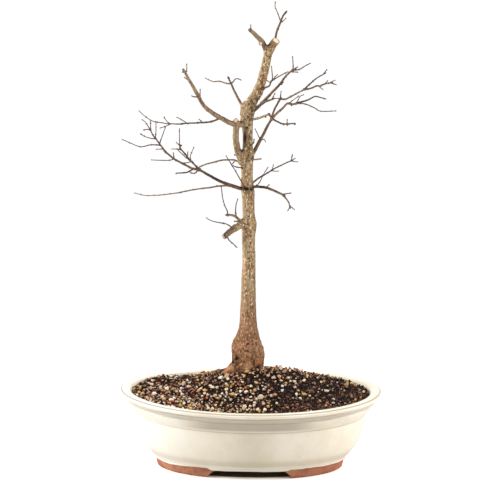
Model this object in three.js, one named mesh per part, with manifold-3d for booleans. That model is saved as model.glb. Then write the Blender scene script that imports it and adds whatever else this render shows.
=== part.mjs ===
// A leafless trident maple bonsai growing in an oval, cream-glazed stoneware pot.
// Millimetres, +Z up. The origin lies on the ground under the middle of the pot,
// X runs along the pot's long way and -Y points at the viewer.

import * as THREE from "three";
import { mergeVertices } from "three/addons/utils/BufferGeometryUtils.js";
import Module from "manifold-3d";

const wasm = await Module();
wasm.setup();

// Driving dimensions of the pot
const POT_WIDTH = 413;
const POT_DEPTH = 278;
const POT_HEIGHT = 118.5; // in the middle of the long sides
const RIM_LIFT = 5; // how much higher the rim stands at the two ends
const LIFT_START = 24;
const LIFT_POWER = 1.5;
const OVAL_POWER = 2.08; // 2 is a true ellipse, more is squarer
const FRONT_TAPER = 0.88; // how far the long sides draw in for each millimetre at the ends
const OVAL_SIDES = 48;
const FLOOR_TOP = 22;
const FLOOR_UNDERSIDE = 12;
const FOOT_WALL = 12;
const FOOT_GAP_WIDTH = 134;
const FOOT_GAP_SLOPE = 12;
const FOOT_GAP_CORNER = 7;
const DRAIN_RADIUS = 15;
const DRAIN_OFFSET = 78;
const DRAIN_SIDES = 24;

// Driving dimensions of the drainage screens
const SCREEN_BARS = 4;
const SCREEN_HOLE = 8.4;
const SCREEN_BAR = 3;
const SCREEN_THICK = 1.2;

// Driving dimensions of the soil
const SOIL_EDGE = 112.6; // in the middle of the long sides, before the rim's lift
const SOIL_TILT = 0.8; // how much higher the soil stands at the right end than in the middle
const SOIL_CROWN = 146;
const GRANULE_STEP = 8.4;
const GRANULE_JITTER = 3;
const CRUMB_RISE = [2.4, 5];
const HOLLOW_RISE = [0, 0.8];
const SOIL_SEED = 41;
const MOUND_REACH = { left: 130, right: 192, deep: 138 }; // where it has come down to the rim
const MOUND_RIM_PULL = 0.8;
const MOUND_TOP = 0.08; // share of the reach that stays level round the trunk

// Driving dimensions of the tree
const TRUNK_FOOT = [-6, 27];
const TRUNK_SIDES = 18;
const STUB_BOTTOM = 96;
const HOLE_TOP = 200;
const HEAD_POINT = 1.5;
const LIMB_SIDES = [
  { over: 5, sides: 9 },
  { over: 3, sides: 7 },
  { over: 1.7, sides: 5 },
  { over: 1, sides: 4 },
  { over: 0, sides: 3 },
];
const BUD_SWELL = 1.7;
const BUD_LENGTH = 3.2;

const GAP = 0.3; // clearance between pieces that touch
const HOLE_CLEARANCE = 0.4; // the same round the faceted trunk

// The pot's outside, from the foot up to the rim: height and half width
const POT_OUTSIDE = [
  [0, 146.5],
  [12.8, 149.2],
  [13.6, 151.8],
  [16, 152.9],
  [18.5, 154.2],
  [24, 158.4],
  [30, 163.5],
  [37.5, 168.8],
  [52, 175.3],
  [66, 179.6],
  [78, 181.8],
  [82.6, 182],
  [83.5, 181],
  [84.6, 182.4],
  [92, 189.8],
  [100.7, 195.7],
  [102.6, 194.4],
  [108.5, 196.4],
  [111, 202.4],
  [112.4, 206],
  [117, 206.5],
  [POT_HEIGHT, 204.5],
];

// The pot's inside, from the floor up to just over the rim
const POT_INSIDE = [
  [FLOOR_TOP, 138],
  [28, 149.5],
  [42, 160.5],
  [80, 171],
  [96, 180.5],
  [113, 187.6],
  [117, 189.2],
  [POT_HEIGHT + 1, 191.5],
];

// The trunk from its buried stub to the old head: height, centre x, centre y, half width, flare
const TRUNK = [
  [STUB_BOTTOM, -6, 27, 15, 0.1],
  [112, -6, 27, 20, 0.3],
  [128, -6, 27, 23.5, 0.8],
  [142, -6, 27, 24.4, 1],
  [150, -6, 27, 24.5, 0.95],
  [155, -5.4, 27, 24.8, 0.4],
  [161, -4.8, 27, 25.4, 0.12],
  [168, -4.3, 27, 26, 0.08],
  [176, -4.8, 27, 25.8, 0.06],
  [183, -5.8, 27, 24.7, 0.05],
  [189, -7, 27, 22.9, 0.05],
  [196, -6.7, 27, 20.3, 0.05],
  [204, -5.3, 27, 17.5, 0],
  [213, -4.8, 27, 15, 0],
  [228, -5, 27, 13.3, 0],
  [245, -5.4, 27, 12.4, 0],
  [268, -5.6, 26.5, 11.6, 0],
  [296, -5.6, 26, 11, 0],
  [324, -5.6, 26, 10.3, 0],
  [352, -6.4, 25, 10.1, 0],
  [366, -6.4, 25, 10.6, 0],
  [381, -5.7, 25, 11.9, 0],
  [391, -6.4, 25, 10.4, 0],
  [402, -7, 25, 9.4, 0],
  [420, -7.4, 25, 9.6, 0],
  [437, -8.6, 25, 10.7, 0],
  [447, -10, 25, 9.7, 0],
  [464, -9.9, 24, 9, 0],
  [478, -10.4, 24, 9.7, 0],
  [489, -10, 24, 11.2, 0],
  [499, -9.2, 23, 8.4, 0],
  [516, -9.4, 22, 7.9, 0],
  [530, -9.8, 21, 8.2, 0],
  [540, -11.4, 20, 10, 0],
  [554, -11.2, 20, 10.3, 0],
  [565, -10.8, 20, 10.6, 0],
  [571, -13, 20, 7.8, 0],
  [575, -14, 20, 3, 0],
];

// The flare's surface roots: direction in degrees, reach past the trunk, angular half width
const SURFACE_ROOTS = [
  [212, 0.72, 20],
  [262, 0.18, 18],
  [318, 0.15, 20],
  [75, 0.15, 24],
  [140, 0.35, 22],
];
const HOLLOW = { angle: 222, height: 163, tall: 7, wide: 15, depth: 4 };

// Limbs and twigs: name, radius at the root and at the tip, end, and the route from
// inside the wood that each grows from to its tip, as x, y and height
const BRANCHES = [
  // The twin stem left of the slit, its scar, and the bridge behind the scar
  ["twin_stem", 5.6, 4.9, "cut", [[-16, 23, 478], [-24, 18, 498], [-27, 15, 510],
    [-28, 11, 526], [-27, 7, 539], [-27, 5, 547]]],
  ["bridge", 4.8, 4.8, "cut", [[-27, 8, 541], [-19, 13, 541], [-11, 18, 541]]],

  // The leader and the two cut stubs of the apex
  ["leader", 8.6, 6.1, "cut", [[-12, 20, 552], [-5, 18, 572], [2, 17, 585], [7, 16, 596],
    [11, 14, 609], [15, 13, 625], [18, 11, 640], [19.5, 10, 652], [19.5, 10, 661]]],
  ["apex_left", 5.2, 3, "cut", [[18, 10, 656], [12.5, 7, 667], [7, 3.5, 673.5], [2, 0, 679],
    [-8, -7, 689.5]]],
  ["apex_right", 6.4, 5.6, "cut", [[20, 10, 653], [24.5, 11, 662.5], [31, 8.5, 670.5]]],
  ["apex_spike", 0.8, 0.6, "bud", [[-7, -7, 686], [-7, -9, 696]]],
  ["top_twig", 1.4, 1, "bud", [[29, 14, 664], [31, 16, 675], [33, 17, 684], [38, 19, 697],
    [41, 20, 705], [44, 21, 711], [47, 22, 714]]],
  ["top_twig_tip", 0.8, 0.5, "bud", [[39, 19, 698], [35, 24, 709], [32, 26, 716],
    [30, 28, 720], [30, 30, 727]]],
  ["top_twig_side", 0.8, 0.5, "bud", [[38, 19, 698], [42, 17, 700], [46, 12, 705]]],

  // Small branch up and left from the old head
  ["head_branch", 2.4, 1.5, "bud", [[-14, 20, 560], [-25, 33, 577], [-31, 45, 587],
    [-37, 58, 598]]],
  ["head_tip_left", 1.1, 0.6, "bud", [[-36, 57, 597], [-45, 63, 597], [-55, 70, 599],
    [-64, 76, 597], [-71, 81, 599], [-77, 86, 601]]],
  ["head_tip_up", 1.2, 0.9, "bud", [[-37, 58, 597], [-41, 56, 607]]],
  ["head_tip_right", 1, 0.6, "bud", [[-37, 58, 597], [-33, 63, 600], [-31, 66, 603],
    [-26, 71, 603], [-22, 74, 601]]],

  // The bare left arm, cut back at its end
  ["left_arm", 4.1, 3.3, "cut", [[-25, 6, 541], [-36, 2, 544], [-45, -1, 549],
    [-60, -6, 558], [-73, -10, 568]]],
  ["left_arm_end", 3.4, 2.2, "cut", [[-70, -9, 565], [-78, -13, 574], [-86, -19, 589],
    [-96, -26, 608], [-109, -36, 632]]],
  ["arm_top_twig", 0.8, 0.5, "bud", [[-105, -34, 624], [-103, -36, 631], [-103, -38, 639]]],
  ["arm_bud", 0.9, 0.7, "bud", [[-100, -28, 613], [-106, -24, 617]]],
  ["arm_left_twig", 1, 0.7, "bud", [[-86, -19, 587], [-92, -25, 588], [-95, -30, 590]]],
  ["arm_up_twig", 0.9, 0.6, "bud", [[-83, -16, 584], [-83, -6, 596]]],

  // Long twig that trails left from the arm
  ["trailing_twig", 1.4, 0.9, "bud", [[-53, -4, 553], [-59, -4, 549], [-68, -2, 546],
    [-81, 2, 544], [-99, 8, 542], [-114, 12, 540]]],
  ["trailing_tip", 0.9, 0.5, "bud", [[-112, 12, 540], [-130, 18, 539], [-145, 24, 540],
    [-156, 28, 541], [-168, 33, 547], [-178, 38, 555]]],
  ["trailing_side_a", 0.7, 0.5, "bud", [[-78, 2, 544], [-84, -6, 550]]],
  ["trailing_side_b", 0.7, 0.5, "bud", [[-102, 9, 541], [-112, 4, 548], [-118, 0, 552]]],
  ["trailing_side_c", 0.7, 0.5, "bud", [[-130, 18, 539], [-136, 26, 543], [-139, 30, 547]]],
  ["trailing_side_d", 0.7, 0.5, "bud", [[-129, 18, 539], [-136, 14, 536], [-144, 9, 534]]],

  // Fan of twigs right of the leader
  ["fan_stem", 1.5, 1.1, "bud", [[8, 15, 594], [17, 22, 597], [23, 28, 599], [25, 34, 604],
    [28, 38, 607]]],
  ["fan_left", 0.7, 0.5, "bud", [[25, 33, 603], [19, 28, 607]]],
  ["fan_up", 0.9, 0.6, "bud", [[28, 38, 606], [27, 40, 615], [26, 42, 626]]],
  ["fan_out", 1, 0.6, "bud", [[27, 37, 606], [34, 44, 609], [41, 52, 612], [51, 62, 616]]],
  ["fan_mid", 0.7, 0.5, "bud", [[29, 39, 607], [32, 45, 611], [35, 50, 613]]],

  // High right branch, which comes forward
  ["high_right", 2.9, 1.8, "bud", [[-9, 22, 553], [3, 15, 565], [12, 8, 575], [25, -4, 591],
    [38, -15, 607], [42, -19, 612]]],
  ["high_right_end", 1.7, 1.2, "bud", [[40, -17, 609], [46, -24, 620], [53, -30, 628],
    [58, -34, 633]]],
  ["high_right_up", 0.9, 0.6, "bud", [[58, -34, 631], [58, -32, 639], [57, -30, 651]]],
  ["high_right_stub", 0.9, 0.7, "bud", [[58, -34, 632], [64, -38, 637]]],
  ["high_right_out", 1, 0.6, "bud", [[57, -33, 632], [67, -40, 634], [74, -45, 639],
    [83, -52, 645]]],
  ["high_right_low", 0.8, 0.7, "bud", [[54, -31, 629], [64, -40, 630]]],
  ["high_spur", 2, 1.1, "bud", [[12, 7, 575], [19, -3, 580], [24, -7, 582], [30, -12, 585]]],
  ["high_spur_a", 0.8, 0.6, "bud", [[27, -9, 583], [31, -4, 591]]],
  ["high_spur_b", 0.8, 0.5, "bud", [[29, -11, 585], [38, -18, 586]]],

  // Long right branch, which goes back, and what forks from its knuckle
  ["long_right", 3.2, 2.1, "bud", [[-6, 25, 485], [2, 29, 498], [8, 33, 510],
    [14, 37, 520], [21, 42, 534], [29, 47, 546]]],
  ["long_right_end", 1.9, 1.5, "bud", [[27, 45, 544], [35, 49, 552], [44, 53, 560],
    [51, 57, 567], [60, 59, 566], [68, 62, 567]]],
  ["long_right_a", 0.8, 0.5, "bud", [[10, 34, 513], [5, 31, 524], [2, 26, 531]]],
  ["long_right_b", 0.9, 0.6, "bud", [[10, 34, 513], [16, 40, 513], [18, 44, 509]]],
  ["long_right_c", 1, 0.6, "bud", [[66, 62, 567], [75, 60, 570], [85, 58, 574],
    [94, 56, 579], [101, 54, 578], [110, 52, 576]]],
  ["long_right_d", 0.9, 0.6, "bud", [[66, 61, 567], [76, 66, 566], [87, 71, 562],
    [96, 77, 557], [104, 81, 552], [128, 92, 551]]],
  ["long_right_e", 0.8, 0.5, "bud", [[65, 61, 566], [69, 65, 573], [71, 67, 577],
    [76, 70, 579]]],
  ["long_right_f", 0.7, 0.5, "bud", [[54, 58, 567], [60, 54, 573], [68, 48, 580]]],

  // Low arch, which comes forward and hangs to the right
  ["low_arch", 1.9, 1.3, "bud", [[-8, 22, 546], [1, 7, 550], [10, -8, 555], [18, -20, 560],
    [23, -30, 564]]],
  ["low_arch_end", 1.4, 1, "bud", [[22, -28, 563], [28, -36, 558], [36, -43, 554],
    [45, -50, 552], [61, -62, 555]]],
  ["low_arch_twig", 0.7, 0.5, "bud", [[50, -53, 553], [50, -46, 558]]],

  // Fork from the middle of the long right branch, which comes forward
  ["mid_fork", 1.6, 1.4, "bud", [[27, 46, 544], [30, 40, 557], [35, 31, 569], [40, 22, 580]]],
  ["mid_fork_up", 0.9, 0.6, "bud", [[40, 22, 579], [41, 24, 590]]],
  ["mid_fork_out", 1.3, 1.1, "bud", [[39, 23, 579], [48, 17, 580], [56, 10, 585],
    [69, -1, 594], [77, -8, 600]]],
  ["mid_fork_high", 1, 0.6, "bud", [[76, -7, 599], [83, -12, 607], [93, -19, 617],
    [101, -23, 623], [107, -26, 627]]],
  ["mid_fork_tip_a", 0.7, 0.5, "bud", [[105, -25, 626], [109, -21, 631]]],
  ["mid_fork_low", 1, 0.7, "bud", [[76, -7, 599], [86, -15, 602], [95, -22, 607],
    [99, -26, 607], [106, -31, 611], [117, -40, 615]]],
  ["mid_fork_tip_b", 0.7, 0.5, "bud", [[112, -36, 613], [121, -46, 619]]],
  ["mid_fork_tip_c", 0.7, 0.5, "bud", [[115, -38, 614], [123, -35, 611]]],
  ["mid_fork_side_a", 0.7, 0.5, "bud", [[97, -24, 607], [103, -29, 603]]],
  ["mid_fork_side_b", 0.7, 0.5, "bud", [[105, -30, 610], [110, -35, 616]]],

  // Short growth left and right of the trunk under the fork
  ["fork_stub", 1.7, 1.3, "bud", [[-15, 24, 483], [-24, 30, 489], [-29, 34, 489]]],
  ["back_arch", 1.2, 0.9, "bud", [[-14, 26, 472], [-27, 32, 480], [-35, 34, 481],
    [-48, 37, 480], [-60, 41, 476], [-73, 45, 472], [-84, 48, 467]]],
  ["thin_upright", 0.9, 0.6, "bud", [[-13, 18, 440], [-20, 7, 455], [-26, 3, 466],
    [-34, -3, 480], [-42, -8, 494]]],
  ["thin_upright_side", 0.7, 0.5, "bud", [[-34, -3, 480], [-28, 4, 485]]],
  ["left_short", 1.1, 0.7, "bud", [[-14, 22, 470], [-26, 9, 474], [-31, 4, 477]]],
  ["right_short", 1.3, 0.9, "bud", [[-5, 21, 485], [2, 6, 487], [11, -10, 491]]],

  // Low left branch to its knuckle
  ["low_left", 2.8, 1.8, "bud", [[-9, 24, 436], [-23, 19, 440], [-36, 15, 445],
    [-51, 11, 451], [-68, 6, 461], [-87, 0, 473]]],
  ["rise", 1.6, 1.1, "bud", [[-84, 0, 470], [-91, -5, 480], [-97, -8, 486],
    [-104, -11, 495], [-113, -16, 507]]],
  ["rise_twig", 0.8, 0.5, "bud", [[-96, -9, 485], [-97, -16, 495], [-92, -22, 509]]],
  ["rise_bud", 0.8, 0.5, "bud", [[-102, -10, 492], [-101, -16, 501]]],
  ["rise_side", 0.8, 0.6, "bud", [[-98, -9, 487], [-106, -3, 492], [-113, 3, 497],
    [-118, 8, 501]]],
  ["rise_left", 0.8, 0.5, "bud", [[-112, -15, 505], [-118, -19, 506], [-125, -24, 507]]],
  ["rise_up", 0.8, 0.5, "bud", [[-112, -15, 505], [-114, -15, 514], [-114, -14, 523],
    [-114, -12, 535]]],
  ["rise_tip", 0.7, 0.5, "bud", [[-113, -15, 510], [-118, -20, 516]]],

  // The sweep that climbs far left from the knuckle
  ["sweep", 1.9, 1.4, "bud", [[-83, 0, 471], [-95, -6, 474], [-105, -10, 480],
    [-117, -15, 487], [-126, -19, 494], [-137, -25, 504]]],
  ["sweep_end", 1.5, 0.9, "bud", [[-135, -24, 502], [-144, -31, 516], [-152, -38, 528],
    [-158, -44, 540]]],
  ["sweep_link", 0.8, 0.6, "bud", [[-111, -12, 483], [-103, -8, 483], [-95, -3, 484]]],
  ["sweep_spur_a", 1.2, 0.8, "bud", [[-92, -4, 473], [-102, -7, 468], [-118, -12, 467]]],
  ["sweep_spur_b", 1.1, 0.8, "bud", [[-86, -1, 471], [-90, 3, 465], [-97, 9, 464]]],
  ["sweep_a", 0.8, 0.5, "bud", [[-122, -17, 491], [-128, -16, 488], [-141, -11, 487],
    [-156, -4, 486]]],
  ["sweep_a_up", 0.8, 0.6, "bud", [[-122, -17, 491], [-123, -18, 499]]],
  ["sweep_b", 0.8, 0.5, "bud", [[-138, -27, 507], [-142, -33, 508], [-148, -40, 509]]],
  ["sweep_c", 0.9, 0.5, "bud", [[-143, -30, 514], [-158, -25, 513], [-173, -20, 509],
    [-190, -14, 514], [-201, -10, 518]]],
  ["sweep_d", 0.8, 0.5, "bud", [[-144, -31, 515], [-142, -33, 522], [-139, -35, 530],
    [-135, -38, 542]]],
  ["sweep_e", 0.8, 0.5, "bud", [[-149, -36, 524], [-158, -46, 527], [-166, -53, 531],
    [-171, -58, 535]]],
  ["sweep_f", 0.8, 0.5, "bud", [[-150, -37, 525], [-149, -41, 536], [-149, -46, 552]]],
  ["sweep_tip_up", 0.8, 0.5, "bud", [[-157, -43, 539], [-157, -46, 546], [-157, -48, 553]]],
  ["sweep_tip_left", 0.8, 0.5, "bud", [[-157, -43, 538], [-162, -39, 546],
    [-166, -34, 550], [-170, -30, 552]]],
  ["sweep_tip_low", 0.8, 0.5, "bud", [[-157, -43, 539], [-162, -50, 541],
    [-167, -56, 541]]],

  // Long low twig behind the low left branch
  ["low_long", 1.4, 0.9, "bud", [[-10, 26, 433], [-36, 35, 439], [-50, 39, 439],
    [-68, 44, 435], [-92, 51, 430], [-115, 58, 424]]],
  ["low_long_end", 0.9, 0.6, "bud", [[-113, 57, 424], [-130, 65, 420], [-150, 73, 416],
    [-171, 81, 414], [-187, 88, 416]]],

  // Low right branch and its neighbours
  ["low_right", 2.4, 1.8, "bud", [[-9, 25, 438], [4, 18, 442], [18, 8, 443], [32, -2, 440],
    [48, -15, 435]]],
  ["low_right_end", 1.3, 0.9, "bud", [[46, -14, 435], [51, -18, 430], [55, -21, 425],
    [57, -26, 418]]],
  ["low_right_a", 0.8, 0.6, "bud", [[56, -24, 421], [63, -32, 417]]],
  ["low_right_b", 0.8, 0.5, "bud", [[57, -24, 420], [54, -20, 413]]],
  ["low_right_c", 0.9, 0.7, "bud", [[44, -12, 436], [57, -5, 437]]],
  ["low_right_d", 0.8, 0.7, "bud", [[19, 7, 442], [24, 2, 448]]],
  ["thin_right", 0.8, 0.5, "bud", [[2, 19, 441], [9, 22, 447], [14, 30, 456],
    [17, 34, 461], [22, 40, 468]]],
  ["mid_right", 1.5, 1.1, "bud", [[-8, 26, 440], [3, 36, 448], [9, 41, 452],
    [18, 48, 456], [30, 58, 462]]],
  ["mid_right_end", 1.1, 0.9, "bud", [[28, 57, 461], [44, 67, 468], [61, 78, 474]]],
  ["mid_right_a", 0.7, 0.5, "bud", [[30, 58, 461], [30, 55, 465], [31, 52, 470]]],
  ["mid_right_b", 0.7, 0.5, "bud", [[28, 57, 461], [33, 61, 459], [39, 68, 458]]],
  ["mid_right_c", 0.7, 0.6, "bud", [[59, 77, 473], [61, 84, 481]]],
  ["mid_right_d", 0.7, 0.5, "bud", [[59, 77, 473], [65, 70, 478]]],
  ["mid_right_e", 0.7, 0.6, "bud", [[58, 76, 473], [69, 86, 470]]],

  // The thick broken stub and its twigs
  ["broken_stub", 6.6, 4.4, "cut", [[-7, 24, 388], [-21, 12, 381], [-29, 6, 377],
    [-37, -1, 373], [-44, -8, 367]]],
  ["stub_low_twig", 0.9, 0.7, "bud", [[-40, -5, 368], [-36, -10, 362], [-30, -15, 358],
    [-25, -20, 354]]],
  ["stub_up_twig", 1.1, 0.7, "bud", [[-29, 5, 377], [-38, -6, 386], [-46, -16, 391]]],
  ["stub_up_tip", 0.8, 0.5, "bud", [[-45, -15, 390], [-58, -24, 394], [-66, -30, 398],
    [-71, -34, 402]]],

  // The spur over the stub, with its long twig
  ["spur", 2.5, 1.5, "bud", [[-9, 24, 383], [-20, 16, 389], [-27, 11, 396],
    [-34, 6, 399], [-41, 2, 400]]],
  ["spur_stub", 1.3, 0.9, "bud", [[-18, 17, 387], [-28, 22, 386]]],
  ["spur_up", 1, 0.6, "bud", [[-26, 11, 395], [-27, 17, 406], [-26, 22, 414],
    [-24, 26, 420]]],
  ["spur_long", 0.9, 0.6, "bud", [[-39, 2, 399], [-40, 0, 407], [-44, -5, 417],
    [-47, -9, 429], [-49, -16, 447]]],
];

const MATERIALS = {
  bark: new THREE.MeshStandardMaterial({ color: 0xb2977a, roughness: 0.85, metalness: 0 }),
  glaze: new THREE.MeshStandardMaterial({ color: 0xefe6cd, roughness: 0.25, metalness: 0 }),
  soil: new THREE.MeshStandardMaterial({ color: 0x4a382c, roughness: 0.95, metalness: 0 }),
  screen: new THREE.MeshStandardMaterial({ color: 0x23282a, roughness: 0.6, metalness: 0 }),
};

// Numbers from 0 to 1 that come out the same every time
function seededNumbers(seed) {
  let state = seed;
  return () => {
    state = (Math.imul(state, 1664525) + 1013904223) >>> 0;
    return state / 2 ** 32;
  };
}

function solidOf(geometry) {
  const bare = new THREE.BufferGeometry().setAttribute(
    "position",
    geometry.getAttribute("position"),
  );
  bare.setIndex(geometry.index);
  const merged = mergeVertices(bare, 1e-4);
  return new wasm.Manifold(
    new wasm.Mesh({
      numProp: 3,
      vertProperties: new Float32Array(merged.attributes.position.array),
      triVerts: new Uint32Array(merged.index.array),
    }),
  );
}

function namedMesh(name, solid, material) {
  const cut = solid.getMesh();
  const geometry = new THREE.BufferGeometry();
  const places = new Float32Array(cut.numVert * 3);
  for (let i = 0; i < cut.numVert; i++) {
    const start = i * cut.numProp;
    places.set(cut.vertProperties.subarray(start, start + 3), i * 3);
  }
  geometry.setAttribute("position", new THREE.BufferAttribute(places, 3));
  geometry.setIndex(new THREE.BufferAttribute(new Uint32Array(cut.triVerts), 1));
  geometry.computeVertexNormals();
  const mesh = new THREE.Mesh(geometry, material);
  mesh.name = name;
  return mesh;
}

// A closed body through rings of equally many points, each turning anticlockwise
// about the way the rings go. The ends close on a point of their own.
function loft(rings, startPoint, endPoint) {
  const sides = rings[0].length;
  const points = [...rings.flat(), startPoint, endPoint];
  const start = points.length - 2;
  const end = points.length - 1;
  const last = (rings.length - 1) * sides;
  const faces = [];
  for (let side = 0; side < sides; side++) {
    const next = (side + 1) % sides;
    faces.push(start, next, side);
    faces.push(end, last + side, last + next);
    for (let ring = 0; ring < rings.length - 1; ring++) {
      const low = ring * sides;
      const high = low + sides;
      faces.push(low + side, low + next, high + next);
      faces.push(low + side, high + next, high + side);
    }
  }
  return new THREE.BufferGeometry().setFromPoints(points).setIndex(faces);
}

// How much higher than in the middle of the long sides a level of the pot stands at one x
function rimLift(x, height) {
  const share = Math.max(height - LIFT_START, 0) / (POT_HEIGHT - LIFT_START);
  return RIM_LIFT * share ** LIFT_POWER * (x / (POT_WIDTH / 2)) ** 2;
}

// Points of the pot's oval at one height
function ovalRing(height, halfWidth, inset = 0) {
  const drawnIn = (POT_WIDTH / 2 - halfWidth) * FRONT_TAPER;
  const halfDepth = POT_DEPTH / 2 - drawnIn - inset;
  const power = 2 / OVAL_POWER;
  return Array.from({ length: OVAL_SIDES }, (_, i) => {
    const turn = (i / OVAL_SIDES) * 2 * Math.PI;
    const across = Math.sign(Math.cos(turn)) * Math.abs(Math.cos(turn)) ** power;
    const along = Math.sign(Math.sin(turn)) * Math.abs(Math.sin(turn)) ** power;
    const x = (halfWidth - inset) * across;
    return new THREE.Vector3(x, halfDepth * along, height + rimLift(x, height));
  });
}

function ovalBody(profile, inset = 0) {
  const rings = profile.map(([height, halfWidth]) => ovalRing(height, halfWidth, inset));
  const bottom = new THREE.Vector3(0, 0, profile[0][0]);
  const top = new THREE.Vector3(0, 0, profile.at(-1)[0]);
  return solidOf(loft(rings, bottom, top));
}

// The gap between the two feet, cut through from front to back with rounded upper corners
function footGap() {
  const half = FOOT_GAP_WIDTH / 2;
  const top = half - FOOT_GAP_SLOPE;
  const shape = new THREE.Shape();
  shape.moveTo(-half, -1);
  shape.lineTo(half, -1);
  shape.lineTo(top + 1, FLOOR_UNDERSIDE - FOOT_GAP_CORNER / 2);
  shape.quadraticCurveTo(top, FLOOR_UNDERSIDE, top - FOOT_GAP_CORNER, FLOOR_UNDERSIDE);
  shape.lineTo(-top + FOOT_GAP_CORNER, FLOOR_UNDERSIDE);
  shape.quadraticCurveTo(-top, FLOOR_UNDERSIDE, -top - 1, FLOOR_UNDERSIDE - FOOT_GAP_CORNER / 2);
  const block = new THREE.ExtrudeGeometry(shape, {
    depth: POT_DEPTH + 20,
    bevelEnabled: false,
    curveSegments: 4,
  });
  block.translate(0, 0, -POT_DEPTH / 2 - 10);
  block.rotateX(Math.PI / 2);
  return solidOf(block);
}

function pot() {
  const footHollow = ovalBody([
    [-1, POT_OUTSIDE[0][1] - FOOT_WALL],
    [FLOOR_UNDERSIDE - 3, POT_OUTSIDE[1][1] - FOOT_WALL - 1],
    [FLOOR_UNDERSIDE, POT_OUTSIDE[1][1] - FOOT_WALL - 5],
  ]);
  let body = ovalBody(POT_OUTSIDE)
    .subtract(ovalBody(POT_INSIDE))
    .subtract(footHollow)
    .subtract(footGap());
  for (const side of [-1, 1]) {
    const drain = new THREE.CylinderGeometry(DRAIN_RADIUS, DRAIN_RADIUS, 40, DRAIN_SIDES);
    drain.rotateX(Math.PI / 2);
    drain.translate(side * DRAIN_OFFSET, 0, FLOOR_TOP);
    body = body.subtract(solidOf(drain));
  }
  return namedMesh("pot", body, MATERIALS.glaze);
}

// One plastic screen over a drainage hole: two crossing rows of flat bars, moulded as one
const SCREEN_PITCH = SCREEN_HOLE + SCREEN_BAR;
const SCREEN_SIZE = (SCREEN_BARS - 1) * SCREEN_PITCH + SCREEN_BAR;

function drainageScreen(name, side) {
  const bars = [];
  for (let bar = 0; bar < SCREEN_BARS; bar++) {
    const offset = (bar - (SCREEN_BARS - 1) / 2) * SCREEN_PITCH;
    const along = new THREE.BoxGeometry(SCREEN_SIZE, SCREEN_BAR, SCREEN_THICK);
    const across = new THREE.BoxGeometry(SCREEN_BAR, SCREEN_SIZE, SCREEN_THICK);
    bars.push(solidOf(along.translate(0, offset, SCREEN_THICK / 2)));
    bars.push(solidOf(across.translate(offset, 0, SCREEN_THICK / 2)));
  }
  const screen = namedMesh(name, wasm.Manifold.union(bars), MATERIALS.screen);
  screen.position.set(side * DRAIN_OFFSET, 0, FLOOR_TOP + GAP);
  return screen;
}

// The space that a screen takes out of the soil's underside
function screenPocket(side) {
  const width = SCREEN_SIZE + 2 * GAP;
  const height = SCREEN_THICK + 2 * GAP;
  const block = new THREE.BoxGeometry(width, width, height);
  block.translate(side * DRAIN_OFFSET, 0, FLOOR_TOP + height / 2);
  return solidOf(block);
}

// Height of the mound without its granules: highest at the trunk, following the rim at its edge
function moundHeight(x, y) {
  const [footX, footY] = TRUNK_FOOT;
  const { left, right, deep } = MOUND_REACH;
  const fromTrunk = Math.hypot((x - footX) / (x < footX ? left : right), (y - footY) / deep);
  const fromMiddle = Math.hypot(x / right, y / deep) * MOUND_RIM_PULL;
  const fall = THREE.MathUtils.smoothstep(Math.max(fromTrunk, fromMiddle), MOUND_TOP, 1);
  const edge = SOIL_EDGE + (SOIL_TILT * x) / right + rimLift(x, SOIL_EDGE);
  return THREE.MathUtils.lerp(SOIL_CROWN, edge, fall);
}

// The granules are a jittered lattice in which every third point is a raised crumb
function soilRelief() {
  const random = seededNumbers(SOIL_SEED);
  const rowStep = (GRANULE_STEP * Math.sqrt(3)) / 2;
  const columns = Math.ceil(POT_WIDTH / GRANULE_STEP);
  const rows = Math.ceil(POT_DEPTH / rowStep);
  const points = [];
  for (let row = 0; row <= rows; row++) {
    for (let column = 0; column <= columns; column++) {
      const shift = row % 2 ? 0.5 : 0;
      const x = (column + shift - columns / 2) * GRANULE_STEP + (random() - 0.5) * GRANULE_JITTER;
      const y = (row - rows / 2) * rowStep + (random() - 0.5) * GRANULE_JITTER;
      const slanted = column - Math.floor(row / 2);
      const isCrumb = (slanted - row + 3 * rows) % 3 === 0;
      const rise = THREE.MathUtils.lerp(...(isCrumb ? CRUMB_RISE : HOLLOW_RISE), random());
      points.push(new THREE.Vector3(x, y, moundHeight(x, y) + rise));
    }
  }
  const width = columns + 1;
  const faces = [];
  for (let row = 0; row < rows; row++) {
    for (let column = 0; column < columns; column++) {
      const near = row * width + column;
      const far = near + width;
      if (row % 2) {
        faces.push(near, near + 1, far + 1, near, far + 1, far);
      } else {
        faces.push(near, near + 1, far, near + 1, far + 1, far);
      }
    }
  }
  // The underside hangs straight down from the lattice's edge and closes on one middle point
  const edge = [];
  for (let column = 0; column < columns; column++) edge.push(column);
  for (let row = 0; row < rows; row++) edge.push(row * width + columns);
  for (let column = columns; column > 0; column--) edge.push(rows * width + column);
  for (let row = rows; row > 0; row--) edge.push(row * width);
  const skirt = points.length;
  edge.forEach((i) => points.push(new THREE.Vector3(points[i].x, points[i].y, 0)));
  const middle = points.length;
  points.push(new THREE.Vector3(0, 0, 0));
  edge.forEach((i, n) => {
    const next = (n + 1) % edge.length;
    faces.push(edge[next], i, skirt + n, edge[next], skirt + n, skirt + next);
    faces.push(skirt + next, skirt + n, middle);
  });
  return solidOf(new THREE.BufferGeometry().setFromPoints(points).setIndex(faces));
}

function soil() {
  const filling = [[FLOOR_TOP + GAP, POT_INSIDE[0][1] + GAP], ...POT_INSIDE.slice(1)];
  filling[filling.length - 1] = [SOIL_CROWN + 20, POT_INSIDE.at(-1)[1]];
  const body = soilRelief()
    .intersect(ovalBody(filling, 2 * GAP))
    .subtract(screenPocket(-1))
    .subtract(screenPocket(1))
    .subtract(trunkBody(HOLE_CLEARANCE));
  return namedMesh("soil", body, MATERIALS.soil);
}

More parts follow.
